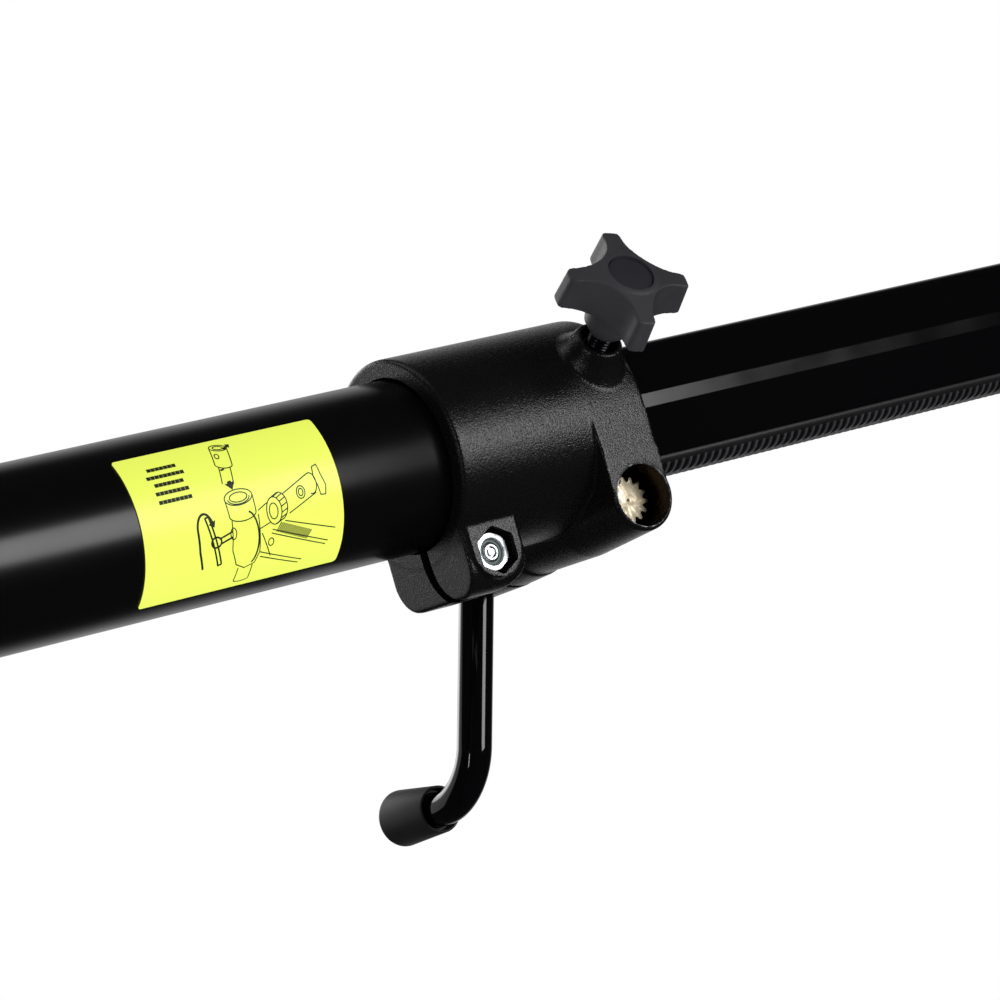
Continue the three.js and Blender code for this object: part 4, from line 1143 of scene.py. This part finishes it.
def add_crank():
    axis = CRANK @ ALONG_Y
    profile = [(0, 52.5), (20, 52.5), (21, 90), (0, 90)]
    hub = turn_soft("hub_casting", profile, [0, 1.2, 3.0, 0], axis, 6, TURNED)
    cut(hub, rod("bore", 50, 68.5, 7.3, axis))
    down = CRANK @ Matrix.Translation((0, CRANK_Y, 0)) @ Matrix.Rotation(math.pi, 4, "X")
    cut(hub, rod("rod_hole", -1, 40, CRANK_ROD_R + 0.4, down))
    screw_place = CRANK @ Matrix.Translation((0, SET_SCREW_Y, 0)) @ ALONG_X
    cut(hub, rod("screw_hole", 5, 30, 2.8, screw_place, sides=TINY))
    dress(hub, COAT, "crank_hub")
    screw = rod("set_screw", 7.3, 19, 2.5, screw_place, 0.3, TINY)
    cut(screw, prism("socket", hexagon(2.5), 16.5, 22, screw_place))
    dress(screw, STEEL, "hub_set_screw")
    dress(crank_rod(), ROD_GLOSS, "crank_arm", angle=60)
    dress(crank_grip(), GRIP_PLASTIC, "crank_grip")


def crank_rod():
    """Down the arm, round one bend and out through the grip."""
    steps = 24
    path = [(0, CRANK_Y, 0), (0, CRANK_Y, -CRANK_RADIUS + CRANK_BEND_R + 0.01)]
    for step in range(steps + 1):
        angle = math.radians(90) * step / steps
        y = CRANK_Y + CRANK_BEND_R * (1 - math.cos(angle))
        z = -CRANK_RADIUS + CRANK_BEND_R * (1 - math.sin(angle))
        path.append((0, y, z))
    path += [(0, GRIP_END_Y + back, -CRANK_RADIUS) for back in (-1.0, -0.3, 0.0)]
    radii = [CRANK_ROD_R] * (len(path) - 2) + [CRANK_ROD_R - 0.3, CRANK_ROD_R - 0.8]
    return sweep("crank_rod", path, radii, CRANK, KNOB_ROUND)


def crank_grip():
    """A tapered sleeve, open where the rod enters and domed at its far end."""
    place = CRANK @ Matrix.Translation((0, 0, -CRANK_RADIUS)) @ ALONG_Y
    profile = [
        (8.7, 107.6), (9.1, 103.6), (10.1, 103.6), (12.4, 135.4), (0, 135.4), (0, 131.5),
        (GRIP_BORE_R, 131.5), (GRIP_BORE_R, 107.6),
    ]
    return turn_soft("grip_moulding", profile, [0.4, 0.2, 0.6, 2.6, 0, 0, 0.3, 0.2], place, 6, TURNED)


# ---------------------------------------------------------------- knobs


def star_outline(tip_r, tip_half, waist, turn=0.0, steps=16):
    """Four blunt lobes joined by hollow arcs, each arc's centre lying on a diagonal."""
    inner_x, inner_y = tip_r - 1.0, tip_half
    reach = (inner_x**2 + inner_y**2 - waist**2) / (2 * (inner_x + inner_y - math.sqrt(2) * waist))
    radius = math.sqrt(2) * reach - waist
    first = math.atan2(inner_y - reach, inner_x - reach)
    last = math.atan2(inner_x - reach, inner_y - reach) - 2 * math.pi
    corners, radii = [], []
    for k in range(4):
        angle = turn + math.radians(90 * k)
        quarter = [((tip_r, -tip_half * 0.9), 2.0), ((tip_r, tip_half * 0.9), 2.0)]
        for step in range(1, steps):
            a = first + (last - first) * step / steps
            quarter.append(((reach + radius * math.cos(a), reach + radius * math.sin(a)), 0))
        for (x, y), r in quarter:
            corners.append(spun(x, y, angle))
            radii.append(r)
    return rounded(corners, radii, 6)


def star_body(name, outline, low, high, hub_r, droop, place):
    """A moulded star: its top falls from the hub to the lobes' tips, and every edge is melted."""
    rows = [(low, 1.0), (high, 0.955)]
    body = loft(name, [[(x * k, y * k, z) for x, y in outline] for z, k in rows], place)
    tip = max(math.hypot(x, y) for x, y in outline)
    dome = [
        (0, low), (hub_r, low), (tip + 0.5, low + 0.8), (tip + 0.5, high - droop * 1.9),
        (tip - 1.5, high - droop), (hub_r + 1.2, high - 0.7), (hub_r, high), (0, high),
    ]
    overlap(body, revolve("dome", dome, place, KNOB_ROUND))
    return soften(body, 0.45, 7)


def add_star_knob():
    top = KNOB_HIGH
    outline = star_outline(*BIG_STAR, KNOB_TURN)
    body = star_body("star_moulding", outline, KNOB_LOW, top + 0.2, 10.9, 2.8, KNOB)
    neck = [(0, 56.3), (5.9, 56.3), (6.5, 56.9), (9.7, 60.8), (10.4, 64), (10.4, 72), (0, 73)]
    fuse(body, revolve("neck", neck, KNOB, KNOB_ROUND))
    well = [(0, top - 1.5), (9.5, top - 1.5), (9.8, top + 2), (0, top + 2)]
    cut(body, revolve("well", well, KNOB, KNOB_ROUND), rod("stud_bore", 54, 68.5, 5.3, KNOB))
    dress(body, PLASTIC, "star_knob", angle=50)
    cap = [
        (0, top - 1.45), (9.3, top - 1.45), (9.3, top - 0.8), (8.9, top - 0.65), (0.5, top - 0.65),
        (0, top - 0.8),
    ]
    dress(turn_soft("cap_moulding", cap, [0, 0.1, 0.2, 0.3, 0.1, 0], KNOB, 3), CAP_PLASTIC, "knob_cap")
    dress(threaded("stud_thread", 5.0, 1.5, 34.3, 68, KNOB, 0.7), STUD, "lock_stud")
    dress(rod("shoe_turned", 26.6, 34, 5, KNOB, 0.5), BRASS, "brake_shoe")


# ---------------------------------------------------------------- the rest of the stand


def melted(node, voxel, passes=4):
    """The CAD solid with its edges melted, as casting or moulding leaves them."""
    obj = bpy.data.objects.new(node + "_melted", frame["nodes"][node].data.copy())
    bpy.context.scene.collection.objects.link(obj)
    return soften(obj, voxel, passes)


def add_castings():
    for node, voxel in CASTINGS.items():
        dress(melted(node, voxel), COAT, node, angle=40)


def add_column():
    column = pipe("column_paint", COLUMN_LOW, COLUMN_HIGH, COLUMN_R, COLUMN_R - COLUMN_WALL, STAND)
    dress(column, SATIN, "column_tube")
    riser = pipe("riser_paint", RISER_LOW, RISER_HIGH, RISER_R, RISER_R - COLUMN_WALL, STAND)
    dress(riser, SATIN, "riser_tube")
    bore = COLUMN_R + 0.3
    foot = [(bore, 7.7), (0, 7.7), (0, 0), (34, 0), (34, 9), (29, 13), (26, 22), (26, 40), (bore, 40)]
    soft = rounded(foot, [0, 0, 0, 1.5, 3, 8, 12, 1.2, 0.4], 8)
    dress(revolve("column_boot", soft, STAND), RUBBER, "column_foot")
    inner, plug = COLUMN_R - COLUMN_WALL - 0.3, RISER_R - COLUMN_WALL - 0.3
    guide = [(0, 310), (inner, 310), (inner, 329.7), (plug, 329.7), (plug, 350), (0, 350)]
    soft = rounded(guide, [0, 1, 1, 0.3, 1, 0], 4, closed=False)
    dress(revolve("riser_guide_moulding", soft, STAND), BUSH, "riser_guide")


def add_legs():
    """Each leg's ring turns on the column, and its tube comes down to the floor in two bends."""
    for node, (azimuth, ring_low) in LEG_RINGS.items():
        place = STAND @ Matrix.Rotation(math.radians(azimuth), 4, "Z")
        ring_high = ring_low + LEG_RING_HEIGHT
        middle = (ring_low + ring_high) / 2
        corners = [(28, 0, middle), (85, 0, middle), (330, 0, FOOT_Z), (490, 0, FOOT_Z)]
        path = rounded(corners, LEG_BEND_R, 14, closed=False)
        tube = sweep("leg_rod", path, [LEG_R] * len(path), place, SLIM)
        leg = fuse(tube, rod("leg_ring", ring_low, ring_high, 33, place, 1.5, KNOB_ROUND))
        soften(leg, 1.1, 5)
        cut(leg, rod("leg_bore", ring_low - 5, ring_high + 5, COLUMN_R + 0.3, place, sides=TURNED))
        leg.name = node + "_paint"
        dress(leg, SATIN, node, angle=45)
        foot = node.replace("leg", "foot")
        dress(melted(foot, 0.8, 5), RUBBER, foot, angle=45)


def add_counterweight():
    half, r = COUNTERWEIGHT_HALF, COUNTERWEIGHT_R
    place = COUNTERWEIGHT @ ALONG_X
    weight = pipe("weight_turned", -half, half, r, TUBE_R + 0.5, place, 3.0)
    for offset in (-16, 16):
        groove = [(r - 1.5, offset - 1), (r + 2, offset - 2), (r + 2, offset + 2), (r - 1.5, offset + 1)]
        cut(weight, revolve("groove", groove, place))
    cut(weight, rod("screw_hole", 20, r + 3, 4.4, COUNTERWEIGHT, sides=SLIM))
    dress(weight, IRON, "counterweight")


def add_lock_screw(name, pad_low, place):
    """A brass pad and the four-lobed knob whose screw presses on it."""
    pad_high = pad_low + 4
    dress(rod(name + "_pad_turned", pad_low, pad_high, 4, place, 0.4), BRASS, name + "_pad")
    low = pad_high + 24
    body = star_body(name + "_moulding", star_outline(*SMALL_STAR), low, low + 14, 8.5, 2.2, place)
    fuse(body, rod("neck", low - 3, low + 2, 8, place, 0.8))
    dress(body, PLASTIC, name + "_knob", angle=50)
    screw = threaded(name + "_screw", 4, 1.25, pad_high + 0.3, low - 2.5, place)
    dress(screw, STUD, name + "_knob", stands_in=False)


def add_lock_screws():
    riser = STAND @ Matrix.Translation((0, 0, RISER_LOCK_Z)) @ TOWARDS_NEAR
    pan = STAND @ Matrix.Translation((0, 0, PAN_LOCK_Z)) @ TOWARDS_NEAR
    add_lock_screw("riser_lock", RISER_R + 0.8, riser)
    add_lock_screw("pan_lock", 15, pan)
    add_lock_screw("counterweight_lock", TUBE_R + 22, COUNTERWEIGHT)


def add_saddle_bolts():
    spots = [(-50, -47), (-50, 47), (50, -47), (50, 47)]
    for index, (x, y) in enumerate(spots, 1):
        place = FULCRUM @ Matrix.Translation((x, y, 0))
        bolt = threaded("saddle_bolt", 3.1, 1.0, -30, 15.4, place)
        dress(bolt, ZINC, f"saddle_bolt_{index}", stands_in=False)
        head = fuse(hex_nut("head", 9.6, 16.3, 21, place), rod("washer", 15.3, 16.4, 5.6, place, 0.2))
        dress(head, ZINC, f"saddle_bolt_{index}")


def add_tilt_clamp():
    """The bolt that the boom tilts on, and the lever that tightens it."""
    shank = rod("tilt_shank", -35, 56, 6, TILT_PIVOT, 0.5)
    dress(shank, ZINC, "tilt_bolt", stands_in=False)
    dress(hex_nut("tilt_bolt_head", 19, -42.5, -34.8, TILT_PIVOT), ZINC, "tilt_bolt")
    profile = [(0, 34.8), (13, 34.8), (12, 58), (9, 60), (0, 60)]
    hub = turn_soft("lever_hub", profile, [0, 0.8, 2, 1, 0], TILT_PIVOT, 5)
    path = rounded([(0, 0, 49), (0, -22, 52), (0, -58, 60)], [0, 12, 0], 6, closed=False)
    radii = [8 - 2.4 * k / (len(path) - 1) for k in range(len(path))]
    handle = fuse(hub, sweep("lever", path, radii, TILT_PIVOT, SLIM))
    soften(handle, 0.7, 5)
    cut(handle, rod("bolt_bore", 30, 57, 6.3, TILT_PIVOT))
    dress(handle, HANDLE, "tilt_lever", angle=50)


def add_bracket_screw():
    place = BOOM @ Matrix.Translation((HEAD_BRACKET_X, 0, 0))
    screw = fuse(rod("bracket_screw", 26.9, 37, 3, place), rod("head", 36.3, 41, 5, place, 0.6))
    cut(screw, prism("key", hexagon(4), 38.5, 43, place))
    dress(screw, ZINC, "bracket_screw")


def add_head_tilt():
    """The bolt that the head socket tilts on, and its knob."""
    pivot = HEAD_PIVOT @ ALONG_Y
    dress(rod("pivot_shank", -44, 39, 5, pivot, 0.5), ZINC, "head_tilt_bolt", stands_in=False)
    dress(hex_nut("pivot_head", 15.5, 38.4, 45, pivot), ZINC, "head_tilt_bolt")
    place = HEAD_PIVOT @ TOWARDS_NEAR
    knob = star_body("tilt_star", star_outline(*SMALL_STAR), 33, 49, 8.5, 2.4, place)
    fuse(knob, rod("neck", 30.4, 35, 9, place, 0.6))
    cut(knob, rod("bore", 20, 45, 5.3, place))
    dress(knob, PLASTIC, "head_tilt_knob", angle=50)


def add_t_screw():
    """The screw that holds a lamp's spigot in the head socket, with its sliding bar."""
    across = BOOM @ Matrix.Translation((T_SCREW_X, 0, T_SCREW_Z)) @ ALONG_X
    dress(rod("spigot_pad", 14.8, 19, 5, across, 0.4), BRASS, "head_screw_pad")
    dress(threaded("t_screw_thread", 5, 1.5, 19.3, 48.5, across), ZINC, "head_screw", stands_in=False)
    head = rod("t_screw_head", 48, 62, 8, across, 1.5)
    bar_place = across @ Matrix.Translation((0, 0, 55)) @ ALONG_X
    cut(head, rod("bar_hole", -20, 20, 3.4, bar_place))
    dress(head, ZINC, "head_screw")
    profile = [(0, -30), (3.0, -30), (3.0, 30), (0, 30)]
    bar = turn_soft("t_bar", profile, [0, 1.4, 1.4, 0], bar_place, 5, SMALL)
    dress(bar, ZINC, "head_screw_bar")


# ---------------------------------------------------------------- stage, light and camera


def area_light(name, heading, elevation, distance, size, power):
    """A softbox in the direction given from the crank: heading from -Y towards +X."""
    heading, elevation = math.radians(heading), math.radians(elevation)
    out = Vector((
        math.sin(heading) * math.cos(elevation),
        -math.cos(heading) * math.cos(elevation),
        math.sin(elevation),
    ))
    data = bpy.data.lights.new(name, "AREA")
    data.shape = "RECTANGLE"
    data.size, data.size_y = size
    data.energy = power
    light = bpy.data.objects.new(name, data)
    light.location = LIGHT_TARGET + out * distance
    light.rotation_mode = "QUATERNION"
    light.rotation_quaternion = out.to_track_quat("Z", "Y")
    bpy.context.scene.collection.objects.link(light)


def add_lights():
    for light in LIGHTS:
        area_light(*light)


def studio_glow(tree, direction):
    """What a shiny surface sees: darkness, and a lit backdrop beyond the boom."""
    ahead = add(tree, "ShaderNodeVectorMath", {1: tuple(BACKDROP)}, operation="DOT_PRODUCT")
    tree.links.new(direction, ahead.inputs[0])
    return ranged(tree, ahead.outputs["Value"], 0.022, 0.8, 0.74, 0.98)


def add_world():
    """White where the camera looks, an even glow for matte surfaces, a dark studio for shiny ones."""
    world = bpy.data.worlds.new("studio")
    bpy.context.scene.world = world
    world.use_nodes = True
    tree = world.node_tree
    tree.nodes.clear()
    out = add(tree, "ShaderNodeOutputWorld")
    place = add(tree, "ShaderNodeTexCoord")
    studio = add(tree, "ShaderNodeBackground")
    tree.links.new(studio_glow(tree, place.outputs["Generated"]), studio.inputs["Strength"])
    even = add(tree, "ShaderNodeBackground", {"Color": (1, 1, 1, 1), "Strength": 0.5})
    white = add(tree, "ShaderNodeBackground", {"Color": (1, 1, 1, 1), "Strength": 1.0})
    path = add(tree, "ShaderNodeLightPath")
    matte = add(tree, "ShaderNodeMixShader")
    tree.links.new(path.outputs["Is Diffuse Ray"], matte.inputs["Fac"])
    tree.links.new(studio.outputs["Background"], matte.inputs[1])
    tree.links.new(even.outputs["Background"], matte.inputs[2])
    mix = add(tree, "ShaderNodeMixShader")
    tree.links.new(path.outputs["Is Camera Ray"], mix.inputs["Fac"])
    tree.links.new(matte.outputs["Shader"], mix.inputs[1])
    tree.links.new(white.outputs["Background"], mix.inputs[2])
    tree.links.new(mix.outputs["Shader"], out.inputs["Surface"])
    view = bpy.context.scene.view_settings
    view.view_transform = "Standard"
    view.look = "None"


def add_floor():
    profile = [(0, FLOOR_LOW), (FLOOR_R, FLOOR_LOW), (FLOOR_R, FLOOR_HIGH), (0, FLOOR_HIGH)]
    floor = revolve("floor", profile, Matrix.Identity(4), KNOB_ROUND)
    material, _, shader = new_material("floor_paper", (0.85, 0.85, 0.85), 0.8, specular=0.1)
    shader.inputs["Emission Color"].default_value = (1, 1, 1, 1)
    shader.inputs["Emission Strength"].default_value = 0.36
    floor.data.materials.append(material)
    floor.visible_glossy = False


def add_camera():
    data = bpy.data.cameras.new("camera")
    data.lens = CAMERA_LENS
    data.sensor_width = CAMERA_SENSOR
    data.clip_start, data.clip_end = 0.05, 60
    camera = bpy.data.objects.new("camera", data)
    turn = Matrix.Rotation(-CAMERA_HEADING, 4, "Z")
    rise = Matrix.Rotation(math.pi / 2 + CAMERA_RISE, 4, "X")
    roll = Matrix.Rotation(-CAMERA_ROLL, 4, "Z")
    camera.matrix_world = Matrix.Translation(BOOM @ CAMERA_SPOT) @ turn @ rise @ roll
    bpy.context.scene.collection.objects.link(camera)
    bpy.context.scene.camera = camera


add_camera()
add_outer_tube()
add_label()
add_print()
add_collar()
add_bushes()
add_lock_nut()
add_clamp_bolt()
add_inner_tube()
add_rack()
add_pinion()
add_crank()
add_star_knob()
add_castings()
add_column()
add_legs()
add_counterweight()
add_lock_screws()
add_saddle_bolts()
add_tilt_clamp()
add_bracket_screw()
add_head_tilt()
add_t_screw()
add_lights()
add_world()
add_floor()
